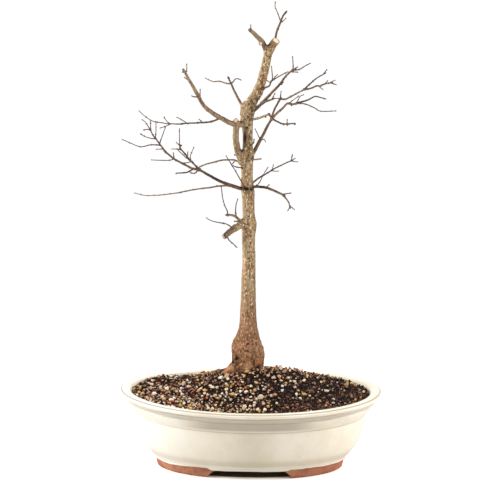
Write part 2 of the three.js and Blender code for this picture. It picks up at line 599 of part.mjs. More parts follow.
// How far the trunk stands out in one direction, with its surface roots and the hollow
function trunkRadius(level, turn, clearance) {
  const [height, , , halfWidth, flare] = level;
  const degrees = THREE.MathUtils.radToDeg(turn);
  const away = (angle) => {
    const apart = Math.abs(degrees - angle) % 360;
    return Math.min(apart, 360 - apart);
  };
  let lobe = 0;
  for (const [angle, reach, spread] of SURFACE_ROOTS) {
    lobe += reach * Math.exp(-((away(angle) / spread) ** 2));
  }
  const sideways = (away(HOLLOW.angle) / HOLLOW.wide) ** 2;
  const upward = ((height - HOLLOW.height) / HOLLOW.tall) ** 2;
  const hollow = HOLLOW.depth * Math.exp(-sideways - upward);
  return halfWidth * (1 + flare * lobe) - hollow + clearance;
}

// The trunk, or with a clearance the hole that it stands in
function trunkBody(clearance) {
  const levels = clearance ? TRUNK.filter(([height]) => height < HOLE_TOP) : TRUNK;
  const rings = levels.map((level) => {
    const [height, x, y] = level;
    const low = height === STUB_BOTTOM ? clearance : 0;
    return Array.from({ length: TRUNK_SIDES }, (_, i) => {
      const turn = (i / TRUNK_SIDES) * 2 * Math.PI;
      const radius = trunkRadius(level, turn, clearance);
      return new THREE.Vector3(
        x + radius * Math.cos(turn),
        y + radius * Math.sin(turn),
        height - low,
      );
    });
  });
  const [bottom, bottomX, bottomY] = levels[0];
  const [top, topX, topY] = levels.at(-1);
  const start = new THREE.Vector3(bottomX, bottomY, bottom - clearance);
  const end = new THREE.Vector3(topX, topY, top + HEAD_POINT);
  return solidOf(loft(rings, start, end));
}

// A tapering limb along its route. A bud swells and closes to a point, a cut end is flat.
function limbBody([, startRadius, endRadius, ending, route]) {
  const { sides } = LIMB_SIDES.find(({ over }) => startRadius > over);
  const points = route.map((place) => new THREE.Vector3(...place));
  const steps = points.slice(1).map((point, i) => point.clone().sub(points[i]));
  const lengths = steps.map((step) => step.length());
  const whole = lengths.reduce((sum, length) => sum + length, 0);
  const ways = points.map((_, i) => {
    const before = steps[Math.max(i - 1, 0)].clone().normalize();
    const after = steps[Math.min(i, steps.length - 1)].clone().normalize();
    return before.add(after).normalize();
  });
  const stations = [];
  let gone = 0;
  points.forEach((point, i) => {
    const radius = THREE.MathUtils.lerp(startRadius, endRadius, gone / whole);
    stations.push({ point, way: ways[i], radius });
    gone += lengths[i] ?? 0;
  });
  const tip = points.at(-1).clone();
  if (ending === "bud") {
    const way = ways.at(-1);
    const swell = tip.clone().addScaledVector(way, BUD_LENGTH * 0.3);
    stations.push({ point: swell, way, radius: endRadius * BUD_SWELL });
    tip.addScaledVector(way, BUD_LENGTH);
  }
  // Each ring's first direction is carried along from the ring before, so that nothing twists
  let across = new THREE.Vector3(0, 1, 0).cross(stations[0].way);
  if (across.length() < 0.2) across = new THREE.Vector3(1, 0, 0).cross(stations[0].way);
  const rings = stations.map(({ point, way, radius }) => {
    across = across.clone().addScaledVector(way, -across.dot(way)).normalize();
    const up = way.clone().cross(across);
    return Array.from({ length: sides }, (_, i) => {
      const turn = (i / sides) * 2 * Math.PI;
      return point
        .clone()
        .addScaledVector(across, radius * Math.cos(turn))
        .addScaledVector(up, radius * Math.sin(turn));
    });
  });
  return solidOf(loft(rings, points[0], tip));
}

function tree() {
  const limbs = BRANCHES.map((branch) => limbBody(branch));
  const body = wasm.Manifold.union([trunkBody(0), ...limbs]);
  return namedMesh("tree", body, MATERIALS.bark);
}

const bonsai = new THREE.Group();
bonsai.add(pot(), soil(), tree());
bonsai.add(drainageScreen("drainage_screen_left", -1));
bonsai.add(drainageScreen("drainage_screen_right", 1));

export default bonsai;
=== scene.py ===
"""A leafless trident maple bonsai growing in an oval, cream-glazed stoneware pot.

Metres, +Z up. The origin lies on the ground under the middle of the pot, X runs along the
pot's long way and -Y points at the viewer. Tables and driving dimensions are in
millimetres, as they were measured, and MM brings them to metres.
"""

import math

import bpy
import numpy as np
from bpy.props import FloatProperty, FloatVectorProperty, IntProperty, PointerProperty
from mathutils import Matrix, Vector, kdtree, noise


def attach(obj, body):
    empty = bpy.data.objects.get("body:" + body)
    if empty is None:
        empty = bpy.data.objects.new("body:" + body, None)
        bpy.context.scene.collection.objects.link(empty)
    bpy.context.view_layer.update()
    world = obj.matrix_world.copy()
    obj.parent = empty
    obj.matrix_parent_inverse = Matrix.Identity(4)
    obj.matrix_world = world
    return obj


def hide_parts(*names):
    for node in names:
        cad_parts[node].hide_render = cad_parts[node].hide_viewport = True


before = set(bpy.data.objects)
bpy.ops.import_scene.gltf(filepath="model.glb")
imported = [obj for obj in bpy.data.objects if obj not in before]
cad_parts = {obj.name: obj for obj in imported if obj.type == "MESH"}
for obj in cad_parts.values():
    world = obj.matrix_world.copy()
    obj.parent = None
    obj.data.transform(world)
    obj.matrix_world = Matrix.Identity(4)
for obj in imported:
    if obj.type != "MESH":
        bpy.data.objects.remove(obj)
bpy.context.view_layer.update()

bl_info = {
    "name": "Trident maple bonsai",
    "version": (1, 0, 0),
    "blender": (4, 5, 0),
    "location": "View3D > Sidebar > Bonsai",
    "description": "A leafless trident maple in an oval glazed pot",
    "category": "Add Mesh",
}

MM = 0.001

# Driving dimensions of the pot, in millimetres
POT_WIDTH = 413
POT_DEPTH = 278
POT_HEIGHT = 118.5  # in the middle of the long sides
RIM_LIFT = 5  # how much higher the rim stands at the two ends
LIFT_START = 24  # level from which the lift grows, and how fast it grows
LIFT_POWER = 1.5
OVAL_POWER = 2.08  # 2 is a true ellipse, more is squarer
FRONT_TAPER = 0.88  # how far the long sides draw in for each millimetre at the ends
POT_SIDES = 192
FOOT_GAP_WIDTH = 134
FOOT_GAP_SLOPE = 12
FOOT_GAP_TOP = 13.3
FOOT_GAP_CORNER = 7
DRAIN_RADIUS = 15
DRAIN_OFFSET = 78
WALL_INSET = 4  # what lies less far in than this is the wall's outside
BRIM_LEVEL = 112  # above this all of the wall is glazed
WAVER_START = 0.4  # under this the feet stay flat
BEAD_LEVEL = 15.5  # the glaze's lower bead, which sags
GLAZE_ROUGHNESS = 0.24
GLAZE_COAT = 0.25
CLAY_ROUGHNESS = 0.85

# Driving dimensions of the soil, in millimetres
SOIL_EDGE = 112.6  # in the middle of the long sides, before the rim's lift
SOIL_TILT = 0.8  # how much higher the soil stands at the right end than in the middle
SOIL_CROWN = 146
MOUND_REACH = {"left": 130, "right": 192, "deep": 138}  # where it has come down to the rim
MOUND_RIM_PULL = 0.8
MOUND_TOP = 0.08  # share of the reach that stays level round the trunk
SOIL_SIDES = 240
SOIL_RINGS = 62
SOIL_HALF_WIDTH = 187.8  # at the soil's edge, inside the rim
TRUNK_GAP = 0.8  # between the soil and the trunk
STUB_LEVELS = (136, 124, 110, 96)  # where the soil goes down round the trunk's stub
SOIL_DIPS = [  # x, y, reach and depth
    (-66, 82, 28, 6), (-146, 68, 40, -4.6), (-4, 0, 26, -4.2), (12, 0, 12, -3),
    (45, 27, 34, -2.4),
]

# Driving dimensions of the tree, in millimetres
TRUNK_FOOT = (-6, 27)
TRUNK_SIDES = 72
THICK_LIMB = 3.1  # limbs that start thicker than this flow into the trunk
STAIN_DEPTH = 1.1  # how deep a dark hollow lies, on wood stouter than STAIN_GIRTH
STAIN_GIRTH = 3
TWIG_SIDES = 8
STOUT_TWIG = 1.8  # twigs thicker than this are rounder, with STOUT_SIDES sides
STOUT_SIDES = 12
THINNEST_TWIG = 0.66
TRUNK_LEVELS = 240
LIMB_SIDES = 20
LIMB_STEP = 2.5
TWIG_STEP = 3.2
SHORTEST_STEP = 0.45  # between two rings of a twig
KNOB_SIDES = 8
KNOB_GIRTH = 1.6  # as thick as a twig, which gives a knob a twig's bark

# The pot's wall in three lines, as height and half width: from the underside's middle out to
# the foot, up the outside to the rim, and down the inside to the floor's middle
UNDERSIDE_LINE = [
    (12, 60), (12, 126), (11.4, 130), (9.6, 133), (7, 134.5), (1, 134.2), (0.3, 134.6),
    (0, 135.6), (0, 145), (0.4, 146.2),
]
OUTSIDE_LINE = [
    (1.2, 146.9), (6, 148), (12, 149.5), (12.9, 149.7), (13.3, 150.3), (13.7, 151.4),
    (14.4, 152.2), (15.4, 152.7), (16.4, 152.8), (17, 152.7), (17.6, 153.2), (18.8, 154.3),
    (21, 156.1), (24, 158.6), (28, 162), (32.5, 165.5), (37.5, 168.8), (43, 171.8),
    (49, 174.3), (56, 176.6), (62, 178.4), (68, 180), (74, 181.2), (79, 181.9), (82, 182),
    (82.9, 181.7), (83.3, 180.9), (83.9, 180.9), (84.4, 181.9), (85.2, 182.9), (87, 184.8),
    (90, 187.9), (93, 190.6), (96, 192.9), (98.5, 194.6), (99.8, 195.4), (100.7, 195.7),
    (101.4, 195.4), (102, 194.7), (102.8, 194.3), (104, 194.6), (105.4, 195.6), (106.6, 196.4),
    (107.6, 196.5), (108.4, 196.2), (109.2, 196.6), (110, 198.2), (110.8, 201), (111.3, 203.4),
    (111.8, 205), (112.6, 206), (113.8, 206.6), (115, 206.7), (115.8, 206.5), (116.3, 205.8),
    (116.6, 205.2),
]
RIM_GROOVE = [(116.9, 204.6), (117.3, 204), (117.6, 203.5), (117.9, 203)]  # on the outer corner
INSIDE_LINE = [
    *RIM_GROOVE, (118.3, 202.2), (118.5, 200.6), (118.5, 198), (118.4, 195),
    (118.1, 192.6), (117.6, 190.8), (116.6, 189.5), (115, 188.6), (113, 187.6), (108, 185.4),
    (102, 182.8), (96, 180.5), (88, 175.6), (80, 171), (60, 165.8), (42, 160.5), (34, 155.5),
    (28, 149.5), (24.5, 143.5), (22.6, 138.5), (22, 133), (22, 60),
]
NECK_LINE = (83.3, 83.9)  # levels of the fine line under the band

# The soil under its surface, from the floor's middle out and up the wall
SOIL_LINE = [(24.2, 30), (24.2, 112), (22.6, 132), (24.8, 141), (30, 150), (42, 159.3),
             (60, 164.8), (80, 170), (96, 179.4), (106, 183.4)]

# The trunk from its buried stub to the old head: height, centre x, centre y, half width, flare
TRUNK = [
    [96, -6, 27, 15, 0.1], [112, -6, 27, 20, 0.3], [128, -6, 27, 23.5, 0.8], [142, -6, 27, 24.4, 1],
    [150, -6, 27, 24.5, 0.95], [155, -5.4, 27, 24.8, 0.4], [161, -4.8, 27, 25.4, 0.12],
    [168, -4.3, 27, 26, 0.08], [176, -4.8, 27, 25.8, 0.06], [183, -5.8, 27, 24.7, 0.05],
    [189, -7, 27, 22.9, 0.05], [196, -6.7, 27, 20.3, 0.05], [204, -5.3, 27, 17.5, 0],
    [213, -4.8, 27, 15, 0], [228, -5, 27, 13.3, 0], [245, -5.4, 27, 12.4, 0],
    [268, -5.6, 26.5, 11.6, 0], [296, -5.6, 26, 11, 0], [324, -5.6, 26, 10.3, 0],
    [352, -6.4, 25, 10.1, 0], [366, -6.4, 25, 10.6, 0], [381, -5.7, 25, 11.9, 0],
    [391, -6.4, 25, 10.4, 0], [402, -7, 25, 9.4, 0], [420, -7.4, 25, 9.6, 0], [437, -8.6, 25, 10.7, 0],
    [447, -10, 25, 9.7, 0], [464, -9.9, 24, 9, 0], [478, -10.4, 24, 9.7, 0], [489, -10, 24, 11.2, 0],
    [499, -9.2, 23, 8.4, 0], [516, -9.4, 22, 7.9, 0], [530, -9.8, 21, 8.2, 0], [540, -11.4, 20, 10, 0],
    [554, -11.2, 20, 10.3, 0], [565, -10.8, 20, 10.6, 0], [571, -13, 20, 7.8, 0], [575, -14, 20, 3, 0],
]

# The flare's surface roots: direction in degrees, reach past the trunk, angular half width
SURFACE_ROOTS = [
    [212, 0.72, 20], [262, 0.18, 18], [318, 0.15, 20], [75, 0.15, 24], [140, 0.35, 22],
]
HOLLOW = {"angle": 222, "height": 163, "tall": 7, "wide": 15, "depth": 4}

# Limbs and twigs: name, radius at the root and at the tip, and the route from inside the
# wood that each grows from to its tip, as x, y and height
BRANCHES = [
    # The twin stem left of the slit, its scar, and the bridge behind the scar
    ["twin_stem", 5.6, 4.9, [[-16, 23, 478], [-24, 18, 498], [-27, 15, 510], [-28, 11, 526],
        [-27, 7, 539], [-27, 5, 547]]],
    ["bridge", 4.8, 4.8, [[-27, 8, 541], [-19, 13, 541], [-11, 18, 541]]],

    # The leader and the two cut stubs of the apex
    ["leader", 8.6, 6.1, [[-12, 20, 552], [-5, 18, 572], [2, 17, 585], [7, 16, 596], [11, 14, 609],
        [15, 13, 625], [18, 11, 640], [19.5, 10, 652], [19.5, 10, 661]]],
    ["apex_left", 4.7, 3, [[18, 10, 656], [12.5, 7, 667], [7, 3.5, 673.5], [2, 0, 679],
        [-8, -7, 689.5]]],
    ["apex_right", 6.6, 6.1, [[20, 10, 653], [25.5, 11, 662.5], [30.5, 11, 669]]],
    ["apex_spike", 0.8, 0.6, [[-7, -7, 686], [-7, -9, 696]]],
    ["top_twig", 1.8, 1.3, [[29, 14, 664], [31, 16, 675], [33, 17, 684], [38, 19, 697], [41, 20, 705],
        [44, 21, 711], [47, 22, 714]]],
    ["top_twig_tip", 0.8, 0.5, [[39, 19, 698], [35, 24, 709], [32, 26, 716], [30, 28, 720],
        [30, 30, 727]]],
    ["top_twig_side", 0.8, 0.5, [[38, 19, 698], [42, 17, 700], [46, 12, 705]]],

    # Small branch up and left from the old head
    ["head_branch", 2.4, 1.5, [[-14, 20, 560], [-25, 33, 577], [-31, 45, 587], [-37, 58, 598]]],
    ["slit_bud", 0.9, 0.8, [[-5, 15, 508], [-0.5, 12, 512], [0.2, 12, 516.5]]],
    ["head_tip_left", 1.1, 0.6, [[-36, 57, 597], [-45, 63, 597], [-55, 70, 599], [-64, 76, 597],
        [-71, 81, 599], [-77, 86, 601]]],
    ["head_tip_up", 1.2, 0.9, [[-37, 58, 597], [-41, 56, 607]]],
    ["head_tip_right", 1, 0.6, [[-37, 58, 597], [-33, 63, 600], [-31, 66, 603], [-26, 71, 603],
        [-22, 74, 601]]],

    # The bare left arm, cut back at its end
    ["left_arm", 4.1, 3.3, [[-25, 6, 541], [-36, 2, 544], [-45, -1, 549], [-60, -6, 558],
        [-73, -10, 568]]],
    ["left_arm_end", 3.4, 2.2, [[-70, -9, 565], [-78, -13, 574], [-86, -19, 589], [-96, -26, 608],
        [-109, -36, 632]]],
    ["arm_top_twig", 0.8, 0.5, [[-105, -34, 624], [-103, -36, 631], [-103, -38, 639]]],
    ["arm_bud", 0.9, 0.7, [[-100, -28, 613], [-106, -24, 617]]],
    ["arm_left_twig", 1, 0.7, [[-86, -19, 587], [-92, -25, 588], [-95, -30, 590]]],
    ["arm_up_twig", 0.9, 0.6, [[-83, -16, 584], [-83, -6, 596]]],

    # Long twig that trails left from the arm
    ["trailing_twig", 1.4, 0.9, [[-53, -4, 553], [-59, -4, 549], [-68, -2, 546], [-81, 2, 544],
        [-99, 8, 542], [-114, 12, 540]]],
    ["trailing_tip", 0.9, 0.5, [[-112, 12, 540], [-130, 18, 539], [-145, 24, 540], [-156, 28, 541],
        [-168, 33, 547], [-178, 38, 555]]],
    ["trailing_side_a", 0.7, 0.5, [[-78, 2, 544], [-84, -6, 550]]],
    ["trailing_side_b", 0.7, 0.5, [[-102, 9, 541], [-112, 4, 548], [-118, 0, 552]]],
    ["trailing_side_c", 0.7, 0.5, [[-130, 18, 539], [-136, 26, 543], [-139, 30, 547]]],
    ["trailing_side_d", 0.7, 0.5, [[-129, 18, 539], [-136, 14, 536], [-144, 9, 534]]],

    # Fan of twigs right of the leader
    ["fan_stem", 1.5, 1.1, [[8, 15, 594], [17, 22, 597], [23, 28, 599], [25, 34, 604], [28, 38, 607]]],
    ["fan_left", 0.7, 0.5, [[25, 33, 603], [19, 28, 607]]],
    ["fan_up", 0.9, 0.6, [[28, 38, 606], [27, 40, 615], [26, 42, 626]]],
    ["fan_out", 1, 0.6, [[27, 37, 606], [34, 44, 609], [41, 52, 612], [51, 62, 616]]],
    ["fan_mid", 0.7, 0.5, [[29, 39, 607], [32, 45, 611], [35, 50, 613]]],

    # High right branch, which comes forward
    ["high_right", 2.9, 1.7, [[-9, 22, 553], [3, 15, 565], [12, 8, 575], [25, -4, 591], [38, -15, 607],
        [42, -19, 612]]],
    ["high_right_end", 1.6, 1.2, [[40, -17, 609], [46, -24, 620], [53, -30, 628], [58, -34, 633]]],
    ["high_right_up", 0.9, 0.6, [[58, -34, 631], [58, -32, 639], [57, -30, 651]]],
    ["high_right_stub", 0.9, 0.7, [[58, -34, 632], [64, -38, 637]]],
    ["high_right_out", 1, 0.6, [[57, -33, 632], [67, -40, 634], [74, -45, 639], [83, -52, 645]]],
    ["high_right_low", 0.8, 0.7, [[54, -31, 629], [64, -40, 630]]],
    ["high_spur", 2, 1.1, [[12, 7, 575], [19, -3, 580], [24, -7, 582], [30, -12, 585]]],
    ["high_spur_a", 0.8, 0.6, [[27, -9, 583], [31, -4, 591]]],
    ["high_spur_b", 0.8, 0.5, [[29, -11, 585], [38, -18, 586]]],

    # Long right branch, which goes back, and what forks from its knuckle
    ["long_right", 3.2, 2.1, [[-6, 25, 485], [2, 29, 498], [8, 33, 510], [14, 37, 520], [21, 42, 534],
        [29, 47, 546]]],
    ["long_right_end", 1.9, 1.5, [[27, 45, 544], [35, 49, 552], [44, 53, 560], [51, 57, 567],
        [60, 59, 566], [68, 62, 567]]],
    ["long_right_a", 0.8, 0.5, [[10, 34, 513], [5, 31, 524], [2, 26, 531]]],
    ["long_right_b", 0.9, 0.6, [[10, 34, 513], [16, 40, 513], [18, 44, 509]]],
    ["long_right_c", 1.3, 0.8, [[66, 62, 567], [75, 60, 570], [85, 58, 574], [94, 56, 579],
        [101, 54, 578], [110, 52, 576]]],
    ["long_right_d", 0.9, 0.6, [[66, 61, 567], [76, 66, 566], [87, 71, 562], [96, 77, 557],
        [104, 81, 552], [128, 92, 551]]],
    ["long_right_e", 0.8, 0.5, [[65, 61, 566], [69, 65, 573], [71, 67, 577], [76, 70, 579]]],
    ["long_right_f", 0.7, 0.5, [[54, 58, 567], [60, 54, 573], [68, 48, 580]]],

    # Low arch, which comes forward and hangs to the right
    ["low_arch", 1.9, 1.3, [[-8, 22, 546], [1, 7, 550], [10, -8, 555], [18, -20, 560],
        [23, -30, 564]]],
    ["low_arch_end", 1.4, 1, [[22, -28, 563], [28, -36, 558], [36, -43, 554], [45, -50, 552],
        [61, -62, 555]]],
    ["low_arch_twig", 0.7, 0.5, [[50, -53, 553], [50, -46, 558]]],

    # Fork from the middle of the long right branch, which comes forward
    ["mid_fork", 1.6, 1.4, [[27, 46, 544], [30, 40, 557], [35, 31, 569], [40, 22, 580]]],
    ["mid_fork_up", 0.9, 0.6, [[40, 22, 579], [41, 24, 590]]],
    ["mid_fork_out", 1.3, 1.1, [[39, 23, 579], [48, 17, 580], [56, 10, 585], [69, -1, 594],
        [77, -8, 600]]],
    ["mid_fork_high", 1.2, 0.8, [[76, -7, 599], [83, -12, 607], [93, -19, 617], [101, -23, 623],
        [107, -26, 627]]],
    ["mid_fork_tip_a", 0.7, 0.5, [[105, -25, 626], [109, -21, 631]]],
    ["mid_fork_low", 1.3, 0.9, [[76, -7, 599], [86, -15, 602], [95, -22, 607], [99, -26, 607],
        [106, -31, 611], [117, -40, 615]]],
    ["mid_fork_tip_b", 0.7, 0.5, [[112, -36, 613], [121, -46, 619]]],
    ["mid_fork_tip_c", 0.7, 0.5, [[115, -38, 614], [123, -35, 611]]],
    ["mid_fork_side_a", 0.7, 0.5, [[97, -24, 607], [103, -29, 603]]],
    ["mid_fork_side_b", 0.7, 0.5, [[105, -30, 610], [110, -35, 616]]],

    # Short growth left and right of the trunk under the fork
    ["fork_stub", 1.7, 1.3, [[-15, 24, 483], [-24, 30, 489], [-29, 34, 489]]],
    ["back_arch", 1.2, 0.9, [[-14, 26, 472], [-27, 32, 480], [-35, 34, 481], [-48, 37, 480],
        [-60, 41, 476], [-73, 45, 472], [-84, 48, 467]]],
    ["thin_upright", 0.9, 0.6, [[-13, 18, 440], [-20, 7, 455], [-26, 3, 466], [-34, -3, 480],
        [-42, -8, 494]]],
    ["thin_upright_side", 0.7, 0.5, [[-34, -3, 480], [-28, 4, 485]]],
    ["left_short", 1.1, 0.7, [[-14, 22, 470], [-26, 9, 474], [-31, 4, 477]]],
    ["right_short", 1.3, 0.9, [[-5, 21, 485], [2, 6, 487], [11, -10, 491]]],

    # Low left branch to its knuckle
    ["low_left", 2.8, 1.8, [[-9, 24, 436], [-23, 19, 440], [-36, 15, 445], [-51, 11, 451],
        [-68, 6, 461], [-87, 0, 473]]],
    ["rise", 1.4, 1, [[-84, 0, 470], [-91, -5, 480], [-97, -8, 486], [-104, -11, 495],
        [-113, -16, 507]]],
    ["rise_twig", 0.8, 0.5, [[-96, -9, 485], [-97, -16, 495], [-92, -22, 509]]],
    ["rise_bud", 0.8, 0.5, [[-102, -10, 492], [-101, -16, 501]]],
    ["rise_side", 0.8, 0.6, [[-98, -9, 487], [-106, -3, 492], [-113, 3, 497], [-118, 8, 501]]],
    ["rise_left", 0.8, 0.5, [[-112, -15, 505], [-118, -19, 506], [-125, -24, 507]]],
    ["rise_up", 0.8, 0.5, [[-112, -15, 505], [-114, -15, 514], [-114, -14, 523], [-114, -12, 535]]],
    ["rise_tip", 0.7, 0.5, [[-113, -15, 510], [-118, -20, 516]]],

    # The sweep that climbs far left from the knuckle
    ["sweep", 1.7, 1.2, [[-83, 0, 471], [-95, -6, 474], [-105, -10, 480], [-117, -15, 487],
        [-126, -19, 494], [-137, -25, 504]]],
    ["sweep_end", 1.3, 0.8, [[-135, -24, 502], [-144, -31, 516], [-152, -38, 528], [-158, -44, 540]]],
    ["sweep_link", 0.8, 0.6, [[-111, -12, 483], [-103, -8, 483], [-95, -3, 484]]],
    ["sweep_spur_a", 1.2, 0.8, [[-92, -4, 473], [-102, -7, 468], [-118, -12, 467]]],
    ["sweep_spur_b", 1.1, 0.8, [[-86, -1, 471], [-90, 3, 465], [-97, 9, 464]]],
    ["sweep_a", 0.8, 0.5, [[-122, -17, 491], [-128, -16, 488], [-141, -11, 487], [-156, -4, 486]]],
    ["sweep_a_up", 0.8, 0.6, [[-122, -17, 491], [-123, -18, 499]]],
    ["sweep_b", 0.8, 0.5, [[-138, -27, 507], [-142, -33, 508], [-148, -40, 509]]],
    ["sweep_c", 0.9, 0.5, [[-143, -30, 514], [-158, -25, 513], [-173, -20, 509], [-190, -14, 514],
        [-201, -10, 518]]],
    ["sweep_d", 0.8, 0.5, [[-144, -31, 515], [-142, -33, 522], [-139, -35, 530], [-135, -38, 542]]],
    ["sweep_e", 0.8, 0.5, [[-149, -36, 524], [-158, -46, 527], [-166, -53, 531], [-171, -58, 535]]],
    ["sweep_f", 0.8, 0.5, [[-150, -37, 525], [-149, -41, 536], [-149, -46, 552]]],
    ["sweep_tip_up", 0.8, 0.5, [[-157, -43, 539], [-157, -46, 546], [-157, -48, 553]]],
    ["sweep_tip_left", 0.8, 0.5, [[-157, -43, 538], [-162, -39, 546], [-166, -34, 550],
        [-170, -30, 552]]],
    ["sweep_tip_low", 0.8, 0.5, [[-157, -43, 539], [-162, -50, 541], [-167, -56, 541]]],

    # Long low twig behind the low left branch
    ["low_long", 1.4, 0.9, [[-10, 26, 433], [-36, 35, 439], [-50, 39, 439], [-68, 44, 435],
        [-92, 51, 430], [-115, 58, 424]]],
    ["low_long_end", 0.9, 0.6, [[-113, 57, 424], [-130, 65, 420], [-150, 73, 416], [-171, 81, 414],
        [-187, 88, 416]]],

    # Low right branch and its neighbours
    ["low_right", 2.3, 1.6, [[-9, 25, 438], [4, 18, 442], [18, 8, 443], [32, -2, 440],
        [48, -15, 435]]],
    ["low_right_end", 1.1, 0.8, [[46, -14, 435], [51, -18, 430], [55, -21, 425], [57, -26, 418]]],
    ["low_right_a", 0.8, 0.6, [[56, -24, 421], [63, -32, 417]]],
    ["low_right_b", 0.8, 0.5, [[57, -24, 420], [54, -20, 413]]],
    ["low_right_c", 0.9, 0.7, [[44, -12, 436], [57, -5, 437]]],
    ["low_right_d", 0.8, 0.7, [[19, 7, 442], [24, 2, 448]]],
    ["thin_right", 0.8, 0.5, [[2, 19, 441], [9, 22, 447], [14, 30, 456], [17, 34, 461],
        [22, 40, 468]]],
    ["mid_right", 1.3, 1, [[-8, 26, 440], [3, 36, 448], [9, 41, 452], [18, 48, 456], [30, 58, 462]]],
    ["mid_right_end", 1, 0.8, [[28, 57, 461], [44, 67, 468], [61, 78, 474]]],
    ["mid_right_a", 0.7, 0.5, [[30, 58, 461], [30, 55, 465], [31, 52, 470]]],
    ["mid_right_b", 0.7, 0.5, [[28, 57, 461], [33, 61, 459], [39, 68, 458]]],
    ["mid_right_c", 0.7, 0.6, [[59, 77, 473], [61, 84, 481]]],
    ["mid_right_d", 0.7, 0.5, [[59, 77, 473], [65, 70, 478]]],
    ["mid_right_e", 0.7, 0.6, [[58, 76, 473], [69, 86, 470]]],

    # The thick broken stub and its twigs
    ["broken_stub", 6.6, 4.4, [[-7, 24, 388], [-21, 12, 381], [-29, 6, 377], [-37, -1, 373],
        [-44, -8, 367]]],
    ["stub_low_twig", 0.9, 0.7, [[-40, -5, 368], [-36, -10, 362], [-30, -15, 358], [-25, -20, 354]]],
    ["stub_up_twig", 1.1, 0.7, [[-29, 5, 377], [-38, -6, 386], [-46, -16, 391]]],
    ["stub_up_tip", 0.8, 0.5, [[-45, -15, 390], [-58, -24, 394], [-66, -30, 398], [-71, -34, 402]]],

    # The spur over the stub, with its long twig
    ["spur", 2.5, 1.5, [[-9, 24, 383], [-20, 16, 389], [-27, 11, 396], [-34, 6, 399], [-41, 2, 400]]],
    ["spur_stub", 1.3, 0.9, [[-18, 17, 387], [-28, 22, 386]]],
    ["spur_up", 1, 0.6, [[-26, 11, 395], [-27, 17, 406], [-26, 22, 414], [-24, 26, 420]]],
    ["spur_long", 0.9, 0.6, [[-39, 2, 399], [-40, 0, 407], [-44, -5, 417], [-47, -9, 429],
        [-49, -16, 447]]],
]

# Root ridges that run out over the soil: radius at the trunk and at the end, and the route
ROOTS = [
    [6, 4, [[-18, 17, 170], [-26, 11, 159], [-33, 7, 150], [-37, 4, 141], [-39, 2, 131]]],
    [4.5, 3, [[-21, 34, 158], [-29, 39, 148], [-35, 43, 139], [-39, 46, 130]]],
    [4.5, 3, [[-4, 8, 164], [-4, 0, 151], [-5, -5, 138]]],
    [3.4, 2.4, [[3, 7, 160], [6, 2, 150], [7, -2, 140]]],
    [5, 3, [[4, 46, 166], [8, 54, 152], [11, 60, 138]]],
]

# Lumps and old knots on the trunk: place, radius and how far they stand out
LUMPS = [
    [[12, 12, 176], 9, 1.1], [[15, 15, 160], 7, 1.4], [[-4, 2, 180], 9, 0.8], [[-27, 17, 182], 7, 1.2],
    [[-13, 3, 168], 6, 1.2], [[4, 3, 170], 5, 0.9], [[7, 4, 157], 5, 1.2], [[-8, 14, 381], 5, 1.4],
    [[-14, 18, 437], 6, 1], [[0, 17, 484], 5, 1], [[-4, 15, 296], 8, 0.5], [[-13, 20, 252], 8, 0.6],
    [[9, 9, 602], 5, 1], [[13, 7, 640], 4, 0.8], [[-6, 13, 560], 5, 1], [[-17, 14, 558], 5, 0.8],
]

# Dark patches in the bark, partly stains and partly painted shade in hollows, folds, crotches and
# under limbs: place, how far they reach across and up, strength
STAINS_AND_SHADE = [
    # The slit's side, the seam under it and the nicks beside it
    [[-12, 13, 534], 5, 4.5, 0.9], [[-10, 13, 524], 6, 18, 0.4], [[-14.5, 13, 519], 3.6, 15, 1.3],
    [[-19, 13, 501], 4, 4, 0.9], [[-7, 13, 501], 1.3, 5, 0.9], [[-8.5, 13, 493], 1.3, 5, 0.9],
    [[-10.5, 14, 484], 1.3, 5, 0.9], [[-12.5, 15, 475], 1.3, 5, 0.8], [[-14.5, 15, 467], 1.3, 5, 0.6],
    [[-17, 17, 471], 2, 2.5, 0.8], [[-1, 18, 486], 3.5, 5, 0.7], [[-5, 14, 453], 4, 6, 0.3],
    # The foot
    [[-8.1, 1, 182.8], 3, 2, 1], [[-22.8, 9, 169], 5, 4.4, 1.3], [[-28.5, 11, 163], 4, 4, 1.2],
    [[-26, 10, 166], 6, 8, 0.4], [[-14, 2, 152], 5, 2.5, 0.5], [[4.8, 1, 162], 2.6, 7, 0.9],
    [[18, 10, 158], 3, 5, 0.7], [[12, 0, 155], 8, 5, 1.3], [[-7.6, -1, 150], 5, 3, 0.9],
    # The old head
    [[-8.2, 10, 572.8], 2.4, 2.2, 0.9], [[-3, 10, 577], 2.6, 2.2, 0.9],
    [[2.5, 10, 580.6], 2.4, 2.2, 0.8], [[-2.7, 11, 562], 5.5, 10, 0.6], [[-8, 14, 549], 3, 4, 0.7],
    # The crotch of the apex and the other limbs' seats
    [[18.5, 6, 666.5], 5, 4, 1.2], [[40, -17, 608], 14, 13, 0.55], [[16, 4, 579], 14, 9, 0.4],
    [[12, 8, 598], 3, 3, 0.6], [[3, 21, 497], 4, 4, 0.6], [[-11, 14, 439], 7, 4, 1.3],
    [[-3, 14, 438], 6, 4, 1.1], [[-9, 14, 432], 5, 4, 0.35], [[3, 17, 439], 5, 4, 1.1],
    [[14, 11, 442.5], 11, 4, 0.9], [[-62, 8, 457], 20, 12, 0.55], [[8, 12, 577], 9, 5, 0.5],
    [[4, 16, 552], 5, 7, 0.6], [[-8, 13, 383], 3, 2, 0.8], [[-44, -8, 367], 5, 4, 0.9],
    [[-18, 14, 374], 3.5, 3, 1.2], [[-13.4, 14, 358], 3.2, 13, 0.7],
    # Browner bark
    [[0, 10, 200], 15, 9, 0.25], [[-4, 12, 232], 7, 4, 0.22], [[2, 14, 262], 5, 16, 0.16],
]

